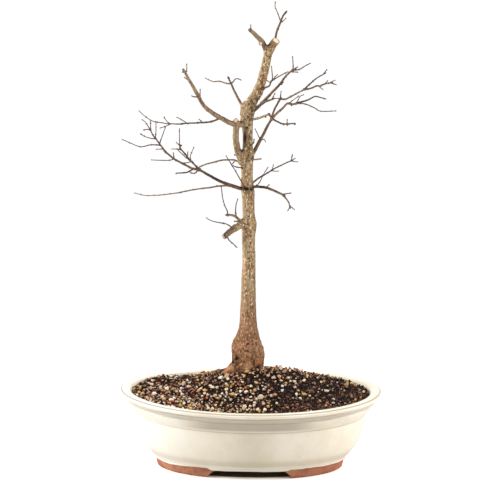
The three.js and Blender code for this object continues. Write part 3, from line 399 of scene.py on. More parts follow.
# Fresh orange bark: place, how far it reaches across and up, strength
RUSTY = [
    [[13.4, 3, 161.5], 7, 7, 1], [[9, 3, 150], 6, 5, 0.7], [[-34, 0, 150], 9, 6, 0.45],
    [[-14.4, 13, 574], 7, 4, 0.35], [[25, 8, 661], 7, 7, 0.18], [[-26, 10, 511], 5, 10, 0.2],
    [[1, 16, 455], 5, 8, 0.45],
]

# Bleached, yellower bark: place, how far it reaches across and up, strength
BLEACHED = [
    [[-34, -1, 154], 8, 5, 0.9], [[-12, 14, 249], 4, 9, 0.5], [[-9, 12, 221], 5, 7, 0.4],
    [[-14.4, 15, 316], 4, 10, 0.5], [[-14, 14, 448], 5, 7, 0.4], [[-5, -1, 161], 10, 6, 0.35],
    [[1.7, 0, 157.5], 3, 3, 0.8], [[-8, 0, 179], 4, 2, 0.8],
]

# Healed cuts: place, the way the cut faces, radius, how far the stump stands out, pinkness
CUTS = [
    [[31.2, 8.5, 670], [0.42, -0.52, 0.74], 5.9, 2.4, 0.1],
    [[9.3, 2, 667.8], [-0.3, -0.95, 0.05], 3, 4, 0.5],
    [[-27.6, 3, 546.8], [-0.2, -0.75, 0.63], 3.9, 2.6, 0.85],
    [[-108, -35.3, 630], [-0.45, -0.35, 0.82], 1.9, 1.6, 0.5],
    [[-44, -8, 367.6], [-0.8, -0.5, -0.35], 4, 1.4, 0.6],
]

# Limbs and twigs whose bark is still pale and olive, where most are dark
PALE_LIMBS = {
    "twin_stem", "bridge", "leader", "apex_left", "apex_right", "left_arm", "left_arm_end",
    "head_branch", "head_tip_left", "low_arch", "broken_stub", "mid_fork_out", "fan_stem",
    "long_right_end", "low_long", "low_long_end", "spur", "back_arch",
}

# Healed knuckles and knobs on the twigs: place and radius
KNOBS = [
    [-56.2, -5, 551.3, 2.2], [13.5, 9, 597.2, 3], [41.8, -18, 610.8, 2.5], [56.4, 59, 566.6, 2.2],
    [58, 60, 564, 1.6], [40.7, 21, 580.7, 2.1], [83.1, -12, 606.9, 1.8], [-85.6, 0, 472, 3.3],
    [47.5, -15, 434.4, 2.4], [-112.9, -16, 510, 1.6], [-111.1, -15, 511, 1.4], [-30.6, 9, 398, 2.1],
    [-25.5, 12, 394.8, 1.8], [14.2, -14, 557.8, 1.9], [17.5, -20, 557.5, 1.4], [-90.4, -22, 596, 2.3],
    [-108.6, -35, 627, 1.6], [-101.9, -30, 616, 1.6], [-87.4, -4, 477, 1.5], [8.5, 41, 451.5, 1.5],
    [47.7, -25, 620.5, 1.5], [44.7, -50, 551, 1.4], [50.4, -54, 551, 1.4], [61.6, -62, 553.5, 1.5],
    [-8, -7, 688.6, 3.1], [45.5, 21, 712, 1.8], [-40.5, 56, 606, 2],
]


def linear(red, green, blue):
    """An 8-bit screen colour as the linear one that shaders take."""
    shares = np.array([red, green, blue]) / 255
    return tuple(float(c) for c in np.where(shares > 0.04, ((shares + 0.055) / 1.055) ** 2.4,
                                            shares / 12.92))


def smoothstep(value, low, high):
    """0 up to the low value, 1 from the high one on, and eased between them."""
    share = min(max((value - low) / (high - low), 0), 1)
    return share * share * (3 - 2 * share)


def deselect_all():
    """Object mode, with nothing selected."""
    if bpy.context.object and bpy.context.object.mode != "OBJECT":
        bpy.ops.object.mode_set(mode="OBJECT")
    bpy.ops.object.select_all(action="DESELECT")


def make_active(piece):
    deselect_all()
    piece.select_set(True)
    bpy.context.view_layer.objects.active = piece


def apply_modifiers(piece):
    make_active(piece)
    for modifier in list(piece.modifiers):
        bpy.ops.object.modifier_apply(modifier=modifier.name)


def edit_all():
    """Edit mode on the active piece, with all of it selected."""
    bpy.ops.object.mode_set(mode="EDIT")
    bpy.ops.mesh.select_all(action="SELECT")


def cut_away(piece, cutter):
    """Takes the cutter's shape out of the piece and removes the cutter."""
    modifier = piece.modifiers.new("cut", "BOOLEAN")
    modifier.operation = "DIFFERENCE"
    modifier.solver = "EXACT"
    modifier.object = cutter
    apply_modifiers(piece)
    bpy.data.objects.remove(cutter, do_unlink=True)


def mesh_piece(name, points, faces):
    """A new object at the origin from points in metres and faces."""
    mesh = bpy.data.meshes.new(name)
    mesh.from_pydata(points, [], faces)
    mesh.update()
    piece = bpy.data.objects.new(name, mesh)
    bpy.context.scene.collection.objects.link(piece)
    return piece


def add_attribute(mesh, name, values):
    layer = mesh.attributes.new(name, "FLOAT", "POINT")
    layer.data.foreach_set("value", np.asarray(values, dtype=np.float32))


def join_pieces(pieces, name):
    deselect_all()
    for piece in pieces:
        piece.select_set(True)
    bpy.context.view_layer.objects.active = pieces[0]
    bpy.ops.object.join()
    pieces[0].name = name
    return pieces[0]


def hand_over(piece, slot, *nodes):
    """The finished piece takes its place in the frame."""
    if any(piece.location) or any(piece.rotation_euler) or piece.scale != Vector((1, 1, 1)):
        raise RuntimeError(f"{piece.name} isn't at the origin")
    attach(piece, "root")
    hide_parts(*nodes)


# Shader nodes

class Shade:
    """Adds nodes to one shader tree. An input takes a socket to link or a plain value."""

    def __init__(self, tree):
        self.tree = tree

    def add(self, kind, inputs=(), **settings):
        node = self.tree.nodes.new(kind)
        for name, value in settings.items():
            setattr(node, name, value)
        for name, value in dict(inputs).items():
            self.feed(node.inputs[name], value)
        return node

    def feed(self, socket, value):
        if isinstance(value, bpy.types.NodeSocket):
            self.tree.links.new(value, socket)
        elif socket.type == "RGBA":
            socket.default_value = (*value, 1)
        else:
            socket.default_value = value

    def math(self, operation, first, second=0.0, clamp=False):
        inputs = {0: first, 1: second}
        node = self.add("ShaderNodeMath", inputs, operation=operation, use_clamp=clamp)
        return node.outputs[0]

    def times(self, first, second, clamp=False):
        return self.math("MULTIPLY", first, second, clamp)

    def range(self, value, low, high, to_low=0.0, to_high=1.0):
        """A value's range brought to another, with a smooth start and end."""
        inputs = {"Value": value, "From Min": low, "From Max": high, "To Min": to_low,
                  "To Max": to_high}
        node = self.add("ShaderNodeMapRange", inputs, interpolation_type="SMOOTHSTEP")
        return node.outputs["Result"]

    def ramp(self, factor, stops):
        """A colour ramp, each stop a position and a screen colour."""
        node = self.add("ShaderNodeValToRGB", {"Fac": factor})
        elements = node.color_ramp.elements
        while len(elements) < len(stops):
            elements.new(1)
        for element, (position, *colour) in zip(elements, stops):
            element.position = position
            element.color = (*linear(*colour), 1)
        return node.outputs["Color"]

    def mix(self, factor, first, second, blend="MIX"):
        inputs = {0: factor, 6: first, 7: second}
        node = self.add("ShaderNodeMix", inputs, data_type="RGBA", blend_type=blend)
        return node.outputs[2]

    def over(self, colour, share, red, green, blue):
        """A screen colour laid over another by a share."""
        return self.mix(share, colour, linear(red, green, blue))

    def noise(self, vector, scale, detail, roughness=0.5):
        inputs = {"Vector": vector, "Scale": scale, "Detail": detail, "Roughness": roughness}
        return self.add("ShaderNodeTexNoise", inputs).outputs[0]

    def apart(self, vector):
        return self.add("ShaderNodeSeparateXYZ", {"Vector": vector}).outputs


class Surface(Shade):
    """A new material, with its constants set on the shader itself."""

    def __init__(self, name, roughness, specular, coat=0.0, coat_roughness=0.1):
        self.material = bpy.data.materials.new(name)
        self.material.use_nodes = True
        super().__init__(self.material.node_tree)
        self.shader = self.tree.nodes["Principled BSDF"]
        constants = {"Roughness": roughness, "Specular IOR Level": specular, "Coat Weight": coat,
                     "Coat Roughness": coat_roughness}
        for label, value in constants.items():
            self.feed(self.shader.inputs[label], value)
        self.place = self.add("ShaderNodeTexCoord").outputs["Object"]

    def read(self, name):
        return self.add("ShaderNodeAttribute", attribute_name=name).outputs["Fac"]

    def group(self, name, **inputs):
        """One of the shared effects, placed by the object's own coordinates."""
        inputs = {"Vector": self.place, **inputs}
        return self.add("ShaderNodeGroup", inputs, node_tree=shared_group(name)).outputs

    def finish(self, colour, height, strength, distance):
        """The colour and a bump go to the shader."""
        inputs = {"Height": height, "Strength": strength, "Distance": distance}
        bump = self.add("ShaderNodeBump", inputs)
        self.feed(self.shader.inputs["Base Color"], colour)
        self.feed(self.shader.inputs["Normal"], bump.outputs["Normal"])
        return self.material


def mottle_nodes(shade, start):
    """Soft patches: noise stretched along Z, brought to a mask from 0 to 1."""
    apart = shade.apart(start["Vector"])
    inputs = {"X": apart["X"], "Y": apart["Y"],
              "Z": shade.math("DIVIDE", apart["Z"], start["Stretch"])}
    place = shade.add("ShaderNodeCombineXYZ", inputs).outputs[0]
    cloud = shade.noise(place, start["Scale"], start["Detail"], 0.6)
    return {"Mask": shade.range(cloud, start["Low"], start["High"]), "Height": cloud}


def speckle_nodes(shade, start):
    """Small separate specks, as in fired clay or porous stone, as a mask from 0 to 1."""
    inputs = {"Vector": start["Vector"], "Scale": start["Scale"]}
    cells = shade.add("ShaderNodeTexVoronoi", inputs).outputs["Distance"]
    return {"Mask": shade.range(cells, start["Size"], shade.times(start["Size"], 0.5))}


def level_nodes(shade, start):
    """What lies above one level of the pot, with an edge that wavers a little."""
    centred = shade.math("SUBTRACT", shade.noise(start["Vector"], 60.0, 2.0), 0.5)
    shift = shade.times(centred, start["Waver"])
    away = shade.math("SUBTRACT", start["Level"], start["Height"])
    half = shade.times(start["Width"], 0.5)
    under = shade.times(half, -1.0)
    return {"Above": shade.range(shade.math("ADD", away, shift), under, half)}


# Shared effects: what adds their nodes, their inputs' defaults, and their outputs
GROUPS = {
    "Mottle": (mottle_nodes, {"Scale": 100.0, "Stretch": 1.0, "Detail": 3.0, "Low": 0.35,
                              "High": 0.65}, ("Mask", "Height")),
    "Speckle": (speckle_nodes, {"Scale": 400.0, "Size": 0.25}, ("Mask",)),
    "Level edge": (level_nodes, {"Level": 0.0, "Height": 0.0, "Width": 0.001, "Waver": 0.0005},
                   ("Above",)),
}


def shared_group(name):
    """A shader node group with named sockets, made the first time it is asked for."""
    if name in bpy.data.node_groups:
        return bpy.data.node_groups[name]
    add_nodes, defaults, outputs = GROUPS[name]
    group = bpy.data.node_groups.new(name, "ShaderNodeTree")
    group.interface.new_socket("Vector", in_out="INPUT", socket_type="NodeSocketVector")
    for label, default in defaults.items():
        socket = group.interface.new_socket(label, in_out="INPUT", socket_type="NodeSocketFloat")
        socket.default_value = default
    for label in outputs:
        group.interface.new_socket(label, in_out="OUTPUT", socket_type="NodeSocketFloat")
    start = group.nodes.new("NodeGroupInput")
    end = group.nodes.new("NodeGroupOutput")
    for label, value in add_nodes(Shade(group), start.outputs).items():
        group.links.new(value, end.inputs[label])
    return group


# The pot

def half_depth(half_width):
    """The oval's half depth where its half width is this, in millimetres."""
    return POT_DEPTH / 2 - (POT_WIDTH / 2 - half_width) * FRONT_TAPER


def rim_lift(x, height):
    """How much higher a level stands at one x than in the middle of the long sides."""
    share = max(height - LIFT_START, 0) / (POT_HEIGHT - LIFT_START)
    return RIM_LIFT * share ** LIFT_POWER * (x / (POT_WIDTH / 2)) ** 2


def oval_reach(x, y, half_width, half_length):
    """Under 1 inside an oval of the pot's kind, 1 on it and more outside."""
    return abs(x / half_width) ** OVAL_POWER + abs(y / half_length) ** OVAL_POWER


def on_oval(x, y, half_width):
    """True within about a fifth of a millimetre of the pot's oval of this half width."""
    return abs(oval_reach(x, y, half_width, half_depth(half_width)) - 1) < 0.0015


def oval_point(turn, half_width, height):
    """A point of the pot's oval, in metres."""
    across, along = (math.copysign(abs(part) ** (2 / OVAL_POWER), part)
                     for part in (math.cos(turn), math.sin(turn)))
    x = half_width * across
    return Vector((x, half_depth(half_width) * along, height + rim_lift(x, height))) * MM


def draw_oval_wall(name, line, sides):
    """A closed oval body: one ring drawn up along the line, then filled at both ends."""
    deselect_all()
    height, half_width = line[0]
    bpy.ops.mesh.primitive_circle_add(vertices=sides, radius=half_width * MM)
    wall = bpy.context.object
    wall.name = name
    for number, vertex in enumerate(wall.data.vertices):
        vertex.co = oval_point(2 * math.pi * number / sides, half_width, height)
    edit_all()
    for (low, inner), (high, outer) in zip(line, line[1:]):
        step = {"value": (0, 0, (high - low) * MM)}
        bpy.ops.mesh.extrude_region_move(TRANSFORM_OT_translate=step)
        wider = (outer / inner, half_depth(outer) / half_depth(inner), 1)
        bpy.ops.transform.resize(value=wider, center_override=(0, 0, 0))
    bpy.ops.mesh.select_all(action="SELECT")
    bpy.ops.mesh.fill_holes(sides=0)
    bpy.ops.mesh.select_all(action="SELECT")
    bpy.ops.mesh.normals_make_consistent(inside=False)
    bpy.ops.object.mode_set(mode="OBJECT")
    for vertex in wall.data.vertices:
        vertex.co.z += rim_lift(vertex.co.x / MM, vertex.co.z / MM) * MM
    return wall


def foot_gap_cutter():
    """The space between the two feet, wider at the bottom and round in its upper corners."""
    deselect_all()
    tall = FOOT_GAP_TOP * 2
    bpy.ops.mesh.primitive_cube_add(size=1)
    cutter = bpy.context.object
    edit_all()
    size = (FOOT_GAP_WIDTH * MM, 2 * POT_DEPTH * MM, tall * MM)
    bpy.ops.transform.resize(value=size, center_override=(0, 0, 0))
    bpy.ops.object.mode_set(mode="OBJECT")
    narrower = 1 - 2 * FOOT_GAP_SLOPE / FOOT_GAP_WIDTH
    wider = 2 - narrower
    for vertex in cutter.data.vertices:
        vertex.co.x *= narrower if vertex.co.z > 0 else wider
    for edge in cutter.data.edges:
        ends = [cutter.data.vertices[i].co for i in edge.vertices]
        edge.select = all(end.z > 0 for end in ends) and ends[0].x == ends[1].x
    bpy.ops.object.mode_set(mode="EDIT")
    bpy.context.tool_settings.mesh_select_mode = (False, True, False)
    bpy.ops.mesh.bevel(offset=FOOT_GAP_CORNER * MM, segments=8)
    bpy.ops.object.mode_set(mode="OBJECT")
    bpy.context.tool_settings.mesh_select_mode = (True, False, False)
    return cutter


def make_pot(settings):
    """One fired piece: floor, wall with its band and rim, and two long feet."""
    line = UNDERSIDE_LINE + OUTSIDE_LINE + INSIDE_LINE
    pot = draw_oval_wall("glazed_pot", line, POT_SIDES)
    cut_away(pot, foot_gap_cutter())
    for side in (-1, 1):
        deselect_all()
        bpy.ops.mesh.primitive_cylinder_add(
            vertices=48, radius=DRAIN_RADIUS * MM, depth=0.05,
            location=(side * DRAIN_OFFSET * MM, 0, 0.02),
        )
        cut_away(pot, bpy.context.object)
    paint_wall(pot)
    uneven_wall(pot, settings)
    make_active(pot)
    bpy.ops.object.shade_smooth_by_angle(angle=math.radians(38))
    pot.data.materials.clear()
    pot.data.materials.append(glaze_material(settings))
    return pot


def paint_wall(pot):
    """Marks each point's level before the rim's lift, the glazed side and the two fine lines."""
    heights, half_widths = zip(*OUTSIDE_LINE)
    levels, outside, lines = [], [], []
    for vertex in pot.data.vertices:
        x, y, z = vertex.co / MM
        level = z
        for _ in range(6):
            level = z - rim_lift(x, level)
        wall = np.interp(level, heights, half_widths) - WALL_INSET
        is_outside = oval_reach(x, y, wall, half_depth(wall)) > 1 or level > BRIM_LEVEL
        on_neck = is_outside and NECK_LINE[0] - 0.1 < level < NECK_LINE[1] + 0.1
        in_groove = level > 116 and any(on_oval(x, y, width) for _, width in RIM_GROOVE)
        levels.append(level * MM)
        outside.append(float(is_outside))
        lines.append(1.0 if in_groove else 0.35 * on_neck)
    for name, values in (("level", levels), ("outside", outside), ("line", lines)):
        add_attribute(pot.data, name, values)


def uneven_wall(pot, settings):
    """The wall wavers as hand-made clay does, and the glaze's lower bead sags here and there."""
    for vertex in pot.data.vertices:
        place = vertex.co
        if place.z < WAVER_START * MM:
            continue
        out = Vector((place.x, place.y * POT_WIDTH / POT_DEPTH, 0)).normalized()
        wave = noise.noise(place * 14) * settings.wall_waver
        ripple = noise.noise(place * 60 + Vector((3, 1, 7))) * settings.wall_waver * 0.3
        bead = 1 - smoothstep(abs(place.z / MM - BEAD_LEVEL), 2.5, 4.5)
        sag = noise.noise(place * 45 + Vector((9, 2, 5))) * 0.9 * MM * bead
        place += out * (wave + ripple)
        if place.z > 12.4 * MM:
            place.z += sag


def glaze_material(settings):
    """Cream glaze over stoneware, bare clay on the feet, underside and inside."""
    surface = Surface("cream_glaze", GLAZE_ROUGHNESS, 0.5, coat=GLAZE_COAT, coat_roughness=0.08)
    over, ranged, times = surface.over, surface.range, surface.times
    cloud = surface.group("Mottle", Scale=26.0, Detail=3.0)
    fine = surface.group("Mottle", Scale=420.0, Low=0.4, High=0.75)
    x = surface.apart(surface.place)["X"]
    off_middle = surface.math("ABSOLUTE", x)
    level, outside, line = (surface.read(name) for name in ("level", "outside", "line"))
    glaze = surface.mix(cloud["Mask"], settings.glaze, settings.glaze_warm)
    # Painted light: the glaze is lighter towards the left end
    glaze = over(glaze, ranged(x, -0.07, -0.12, 0.0, 0.5), 255, 251, 242)
    glaze = over(glaze, times(fine["Mask"], 0.1), 196, 176, 140)
    # Painted shade under the rim all round, and on the band below it in the middle of the long sides
    below_lip = ranged(level, 111.6 * MM, 109 * MM)
    painted_recess_shade = times(ranged(level, 99 * MM, 103 * MM), below_lip)
    band = times(ranged(level, 84 * MM, 90 * MM), below_lip)
    band = times(band, ranged(off_middle, 0.125, 0.055, 0.0, 0.72))
    band = times(band, ranged(level, 103 * MM, 100 * MM, 0.62, 1.0))
    glaze = over(glaze, surface.math("MAXIMUM", band, times(painted_recess_shade, 0.5)), 160, 147, 127)
    # The groove on the rim and the fine line under the band are painted darker
    glaze = over(glaze, times(line, 0.62), 112, 100, 80)
    # Painted shade on the wall below the band, in the middle of the long sides
    middle = times(ranged(off_middle, 0.055, 0.0, 0.0, 0.28), ranged(level, 85 * MM, 83 * MM))
    glaze = over(glaze, middle, 178, 164, 130)
    # Over the feet it is thin first, then ends in a pale bead
    thin = times(ranged(level, 22 * MM, 25 * MM), ranged(level, 38 * MM, 29 * MM, 0.0, 0.3))
    glaze = over(glaze, thin, 206, 186, 148)
    glaze = over(glaze, ranged(level, 23 * MM, 20.5 * MM, 0.0, 0.6), 255, 249, 232)
    blotch = surface.group("Mottle", Scale=70.0, Detail=4.0)
    grog = surface.group("Speckle", Scale=900.0, Size=0.3)
    clay = surface.mix(blotch["Mask"], settings.clay, settings.clay_dark)
    clay = over(clay, times(grog["Mask"], 0.35), 214, 176, 142)
    clay = surface.mix(ranged(x, 0.03, 0.13, 0.0, 0.6), clay, settings.clay_dark)
    # Painted shade: the bare clay inside and under the pot is painted near black-brown
    clay = over(clay, times(surface.math("SUBTRACT", 1.0, outside), 0.88), 40, 25, 19)
    # More clay is left bare at the feet's inner ends, on the left most of all
    right = ranged(x, 0.055, 0.068, 0.0, settings.foot_bare)
    inner_left = ranged(x, -0.055, -0.068, 0.0, settings.foot_bare * 1.4)
    left = times(inner_left, ranged(x, -0.125, -0.075))
    lower = surface.math("SUBTRACT", level, surface.math("ADD", left, right))
    edge = surface.group("Level edge", Level=lower, Waver=1.4 * MM, Height=settings.glaze_edge,
                         Width=0.5 * MM)
    glazed = times(edge["Above"], outside)
    rough = ranged(glazed, 0.0, 1.0, CLAY_ROUGHNESS, GLAZE_ROUGHNESS)
    surface.feed(surface.shader.inputs["Roughness"], rough)
    surface.feed(surface.shader.inputs["Coat Weight"], times(glazed, GLAZE_COAT))
    relief = surface.mix(glazed, grog["Mask"], cloud["Height"])
    return surface.finish(surface.mix(glazed, clay, glaze), relief, 0.12, 0.6 * MM)


# The soil

def mound_height(x, y):
    """Height of the mound without its crumbs, in millimetres."""
    foot_x, foot_y = TRUNK_FOOT
    deep, right = MOUND_REACH["deep"], MOUND_REACH["right"]
    wide = MOUND_REACH["left"] if x < foot_x else right
    from_trunk = math.hypot((x - foot_x) / wide, (y - foot_y) / deep)
    from_middle = math.hypot(x / right, y / deep) * MOUND_RIM_PULL
    fall = smoothstep(max(from_trunk, from_middle), MOUND_TOP, 1)
    edge = SOIL_EDGE + SOIL_TILT * x / right + rim_lift(x, SOIL_EDGE)
    sunk = sum(depth * math.exp(-((x - dip_x) ** 2 + (y - dip_y) ** 2) / reach ** 2)
               for dip_x, dip_y, reach, depth in SOIL_DIPS)
    return SOIL_CROWN + (edge - SOIL_CROWN) * fall - sunk


def trunk_level(height):
    """Centre, half width and flare of the trunk at a height, eased between the table's rows."""
    rows = TRUNK
    last = len(rows) - 1
    above = next((i for i, row in enumerate(rows) if row[0] > height), last)
    above = max(above, 1)
    low, high = rows[above - 1], rows[above]
    share = min(max((height - low[0]) / (high[0] - low[0]), 0), 1)
    before, after = rows[max(above - 2, 0)], rows[min(above + 1, last)]

    def eased(i):
        step = high[0] - low[0]
        start = (high[i] - before[i]) / (high[0] - before[0]) * step
        end = (after[i] - low[i]) / (after[0] - low[0]) * step
        s, t = share, 1 - share
        return (low[i] * t * t * (1 + 2 * s) + high[i] * s * s * (1 + 2 * t)
                + start * s * t * t - end * s * s * t)

    return [eased(i) for i in range(1, 5)]


def trunk_radius(level, height, turn):
    """How far the trunk stands out in one direction, in millimetres."""
    half_width, flare = level[2], max(level[3], 0)
    degrees = math.degrees(turn)

    def away(angle):
        apart = abs(degrees - angle) % 360
        return min(apart, 360 - apart)

    lobe = sum(reach * math.exp(-(away(angle) / spread) ** 2)
               for angle, reach, spread in SURFACE_ROOTS)
    sideways = (away(HOLLOW["angle"]) / HOLLOW["wide"]) ** 2
    upward = ((height - HOLLOW["height"]) / HOLLOW["tall"]) ** 2
    hollow = HOLLOW["depth"] * math.exp(-sideways - upward)
    return half_width * (1 + flare * lobe) - hollow


def rough_soil(x, y):
    """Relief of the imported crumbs, in millimetres."""
    place = Vector((x, y, 0))
    cells = noise.voronoi(place / 4.2)[0][0]
    return 2.4 * (0.4 - cells) + 1.3 * noise.noise(place / 9) + 0.6 * noise.noise(place / 2.5)


def trunk_ring(height, count, gap=0.0):
    """Points round the trunk at a height, this far out from its wood, in millimetres."""
    level = trunk_level(height)
    ring = []
    for i in range(count):
        turn = 2 * math.pi * i / count
        radius = trunk_radius(level, height, turn) + gap
        ring.append(Vector((level[0] + radius * math.cos(turn),
                            level[1] + radius * math.sin(turn), height)))
    return ring


def make_soil_bed(settings):
    """The body of soil: up the pot's wall, over the mound, and down round the trunk's stub."""
    turns = [2 * math.pi * i / SOIL_SIDES for i in range(SOIL_SIDES)]
    rings = [[oval_point(turn, half_width, height) for turn in turns]
             for height, half_width in SOIL_LINE]
    edge = [oval_point(turn, SOIL_HALF_WIDTH, 0) / MM for turn in turns]
    collar = trunk_ring(SOIL_CROWN, SOIL_SIDES, TRUNK_GAP)
    for ring in range(SOIL_RINGS + 1):
        spots = [far.lerp(near, ring / SOIL_RINGS) for far, near in zip(edge, collar)]
        rings.append([Vector((x, y, mound_height(x, y) + rough_soil(x, y))) * MM
                      for x, y, _ in spots])
    sink = Vector((0, 0, TRUNK_GAP))
    for height in STUB_LEVELS:
        rings.append([(point - sink) * MM for point in trunk_ring(height, SOIL_SIDES, TRUNK_GAP)])
    faces = []
    for low in range(0, (len(rings) - 1) * SOIL_SIDES, SOIL_SIDES):
        for i in range(SOIL_SIDES):
            j = (i + 1) % SOIL_SIDES
            faces.append((low + i, low + j, low + SOIL_SIDES + j, low + SOIL_SIDES + i))
    count = len(rings) * SOIL_SIDES
    faces.append(tuple(reversed(range(SOIL_SIDES))))
    faces.append(tuple(range(count - SOIL_SIDES, count)))
    bed = mesh_piece("soil_bed", [point for ring in rings for point in ring], faces)
    make_active(bed)
    bpy.ops.object.shade_smooth()
    bed.data.materials.append(soil_material(settings))
    return bed


def soil_material(settings):
    """Damp dark loam with gritty flecks."""
    surface = Surface("soil_loam", 0.95, 0.2)
    clumps = surface.group("Mottle", Scale=260.0, Detail=5.0)
    grit = surface.group("Speckle", Scale=620.0, Size=0.28)
    colour = surface.mix(clumps["Mask"], settings.loam, settings.loam_light)
    colour = surface.over(colour, surface.times(grit["Mask"], 0.4), 112, 84, 64)
    return surface.finish(colour, clumps["Height"], 0.8, 2 * MM)


# Grains that lie on the soil

def broken_stone(random, corners, name):
    """A crushed stone of about unit radius: the hull of a few points, chipped at random."""
    ways = random.normal(size=(corners, 3))
    ways /= np.linalg.norm(ways, axis=1, keepdims=True)
    points = ways * random.uniform(0.75, 1.1, (corners, 1))
    stone = mesh_piece(name, [tuple(point) for point in points], [])
    make_active(stone)
    edit_all()
    bpy.ops.mesh.convex_hull()
    bpy.ops.mesh.quads_convert_to_tris()
    bpy.ops.object.mode_set(mode="OBJECT")
    return stone


def chipped(stone, random):
    """A stone with its corners worn: its faces rounded once, then its points nudged."""
    make_active(stone)
    edit_all()
    bpy.ops.mesh.subdivide(number_cuts=1, smoothness=0.35)
    bpy.ops.object.mode_set(mode="OBJECT")
    for vertex in stone.data.vertices:
        vertex.co *= random.uniform(0.92, 1.06)
    return stone


def stone_arrays(stone):
    """A stone's points and triangles as arrays, and the stone removed."""
    mesh = stone.data
    points = np.array([tuple(vertex.co) for vertex in mesh.vertices])
    faces = np.array([tuple(face.vertices) for face in mesh.polygons if len(face.vertices) == 3])
    bpy.data.objects.remove(stone, do_unlink=True)
    return points, faces


def on_soil(x, y, margin):
    """True where a grain can lie: inside the rim and outside the trunk."""
    half_length = half_depth(SOIL_HALF_WIDTH) - margin
    if oval_reach(x, y, SOIL_HALF_WIDTH - margin, half_length) > 1:
        return False
    level = trunk_level(SOIL_CROWN)
    turn = math.atan2(y - level[1], x - level[0])
    away = math.hypot(x - level[0], y - level[1])
    return away > trunk_radius(level, SOIL_CROWN, turn) + margin * 0.4


def random_turns(random, count):
    """That many random rotations as matrices."""
    q = random.normal(size=(count, 4))
    q /= np.linalg.norm(q, axis=1, keepdims=True)
    w, x, y, z = q.T
    rows = [
        [1 - 2 * (y * y + z * z), 2 * (x * y - z * w), 2 * (x * z + y * w)],
        [2 * (x * y + z * w), 1 - 2 * (x * x + z * z), 2 * (y * z - x * w)],
        [2 * (x * z - y * w), 2 * (y * z + x * w), 1 - 2 * (x * x + y * y)],
    ]
    return np.array(rows).transpose(2, 0, 1)


STONE_SHAPES = 6
TRIES_PER_GRAIN = 60
CHOSEN_LIFT = 0.36  # how much of its size a chosen stone's middle lies above the mound
SIZE_POWER = 2.2  # more makes large grains rarer
WORN_PITS = 0.5  # how dark the pores are in worn stones and in fresh crumbs
FRESH_PITS = 0.2


def place_grains(kind, random):
    """Places, sizes and the chosen stones' tones. No grain lies too deep in another."""
    edge_x, edge_y = SOIL_HALF_WIDTH, half_depth(SOIL_HALF_WIDTH)
    taken, places, sizes, tones = {}, [], [], []

    def cell(x, y):
        return int(x // kind["largest"]), int(y // kind["largest"])

    def settle(x, y, size, lift):
        taken.setdefault(cell(x, y), []).append((x, y, size))
        places.append((x, y, mound_height(x, y) + lift))
        sizes.append(size)

    def is_free(x, y, size):
        column, row = cell(x, y)
        near = [taken.get((column + i, row + j), ()) for i in (-1, 0, 1) for j in (-1, 0, 1)]
        return not any(math.hypot(x - a, y - b) < (size + c) * 0.5 * kind["apart"]
                       for group in near for a, b, c in group)

    for tone, spots in kind.get("chosen", {}).items():
        for x, y, size in spots:
            settle(x, y, size, size * CHOSEN_LIFT)
            tones.append(tone)
    for _ in range(kind["count"] * TRIES_PER_GRAIN):
        if len(places) >= kind["count"]:
            break
        x = random.uniform(-edge_x, edge_x)
        y = random.uniform(-edge_y, edge_y)
        spread = kind["largest"] - kind["smallest"]
        size = kind["smallest"] + spread * random.random() ** SIZE_POWER
        keep = random.random() < kind["density"](x, y)
        if keep and on_soil(x, y, size * 0.5) and is_free(x, y, size):
            settle(x, y, size, rough_soil(x, y) * 0.4 + size * random.uniform(*kind["lift"]))
    return np.array(places), np.array(sizes), tones


def scatter_grains(name, kind, seed):
    """Strews one kind of grain over the mound. Each keeps a tone of its own."""
    random = np.random.default_rng(seed)
    stones = []
    for shape in range(STONE_SHAPES):
        stone = broken_stone(random, kind["corners"], f"{name}_{shape}")
        if kind["worn"]:
            stone = chipped(stone, random)
        stones.append(stone_arrays(stone))
    places, sizes, tones = place_grains(kind, random)
    count = len(sizes)
    turns = random_turns(random, count)
    shares = random.uniform(*kind["flatness"], (count, 3))
    tones = np.concatenate([tones, random.random(count - len(tones))])
    which = random.integers(0, len(stones), count)
    points, faces, toned = [], [], []
    start = 0
    for number, (shape_points, shape_faces) in enumerate(stones):
        mine = which == number
        scaled = shape_points[None] * (shares[mine] * sizes[mine, None] * 0.5)[:, None]
        turned = np.einsum("nij,nkj->nki", turns[mine], scaled)
        turned[:, :, 2] *= kind["laid"]
        points.append((turned + places[mine][:, None]).reshape(-1, 3))
        offsets = start + np.arange(mine.sum()) * len(shape_points)
        faces.append((shape_faces[None] + offsets[:, None, None]).reshape(-1, 3))
        toned.append(np.repeat(tones[mine], len(shape_points)))
        start += mine.sum() * len(shape_points)
    points = np.concatenate(points) * MM
    grains = mesh_piece(name, points.tolist(), np.concatenate(faces).tolist())
    add_attribute(grains.data, "tone", np.concatenate(toned))
    make_active(grains)
    if kind["worn"]:
        bpy.ops.object.shade_smooth_by_angle(angle=math.radians(32))
    else:
        bpy.ops.object.shade_flat()
    grains.data.materials.append(grain_material(name, kind))
    return grains


def grain_material(name, kind):
    """Stone whose colour follows each grain's tone, with pores and dust."""
    surface = Surface(name, 0.9, 0.25)
    colour = surface.ramp(surface.read("tone"), kind["tones"])
    dust = surface.group("Mottle", Scale=520.0, Detail=4.0, Low=0.3, High=0.72)
    pores = surface.group("Speckle", Scale=1100.0, Size=0.3)
    shade = surface.mix(dust["Mask"], (1, 1, 1), (0.72, 0.66, 0.6))
    colour = surface.mix(1.0, colour, shade, "MULTIPLY")
    pits = WORN_PITS if kind["worn"] else FRESH_PITS
    colour = surface.over(colour, surface.times(pores["Mask"], pits), 70, 48, 36)
    return surface.finish(colour, dust["Height"], 0.5, 0.6 * MM)


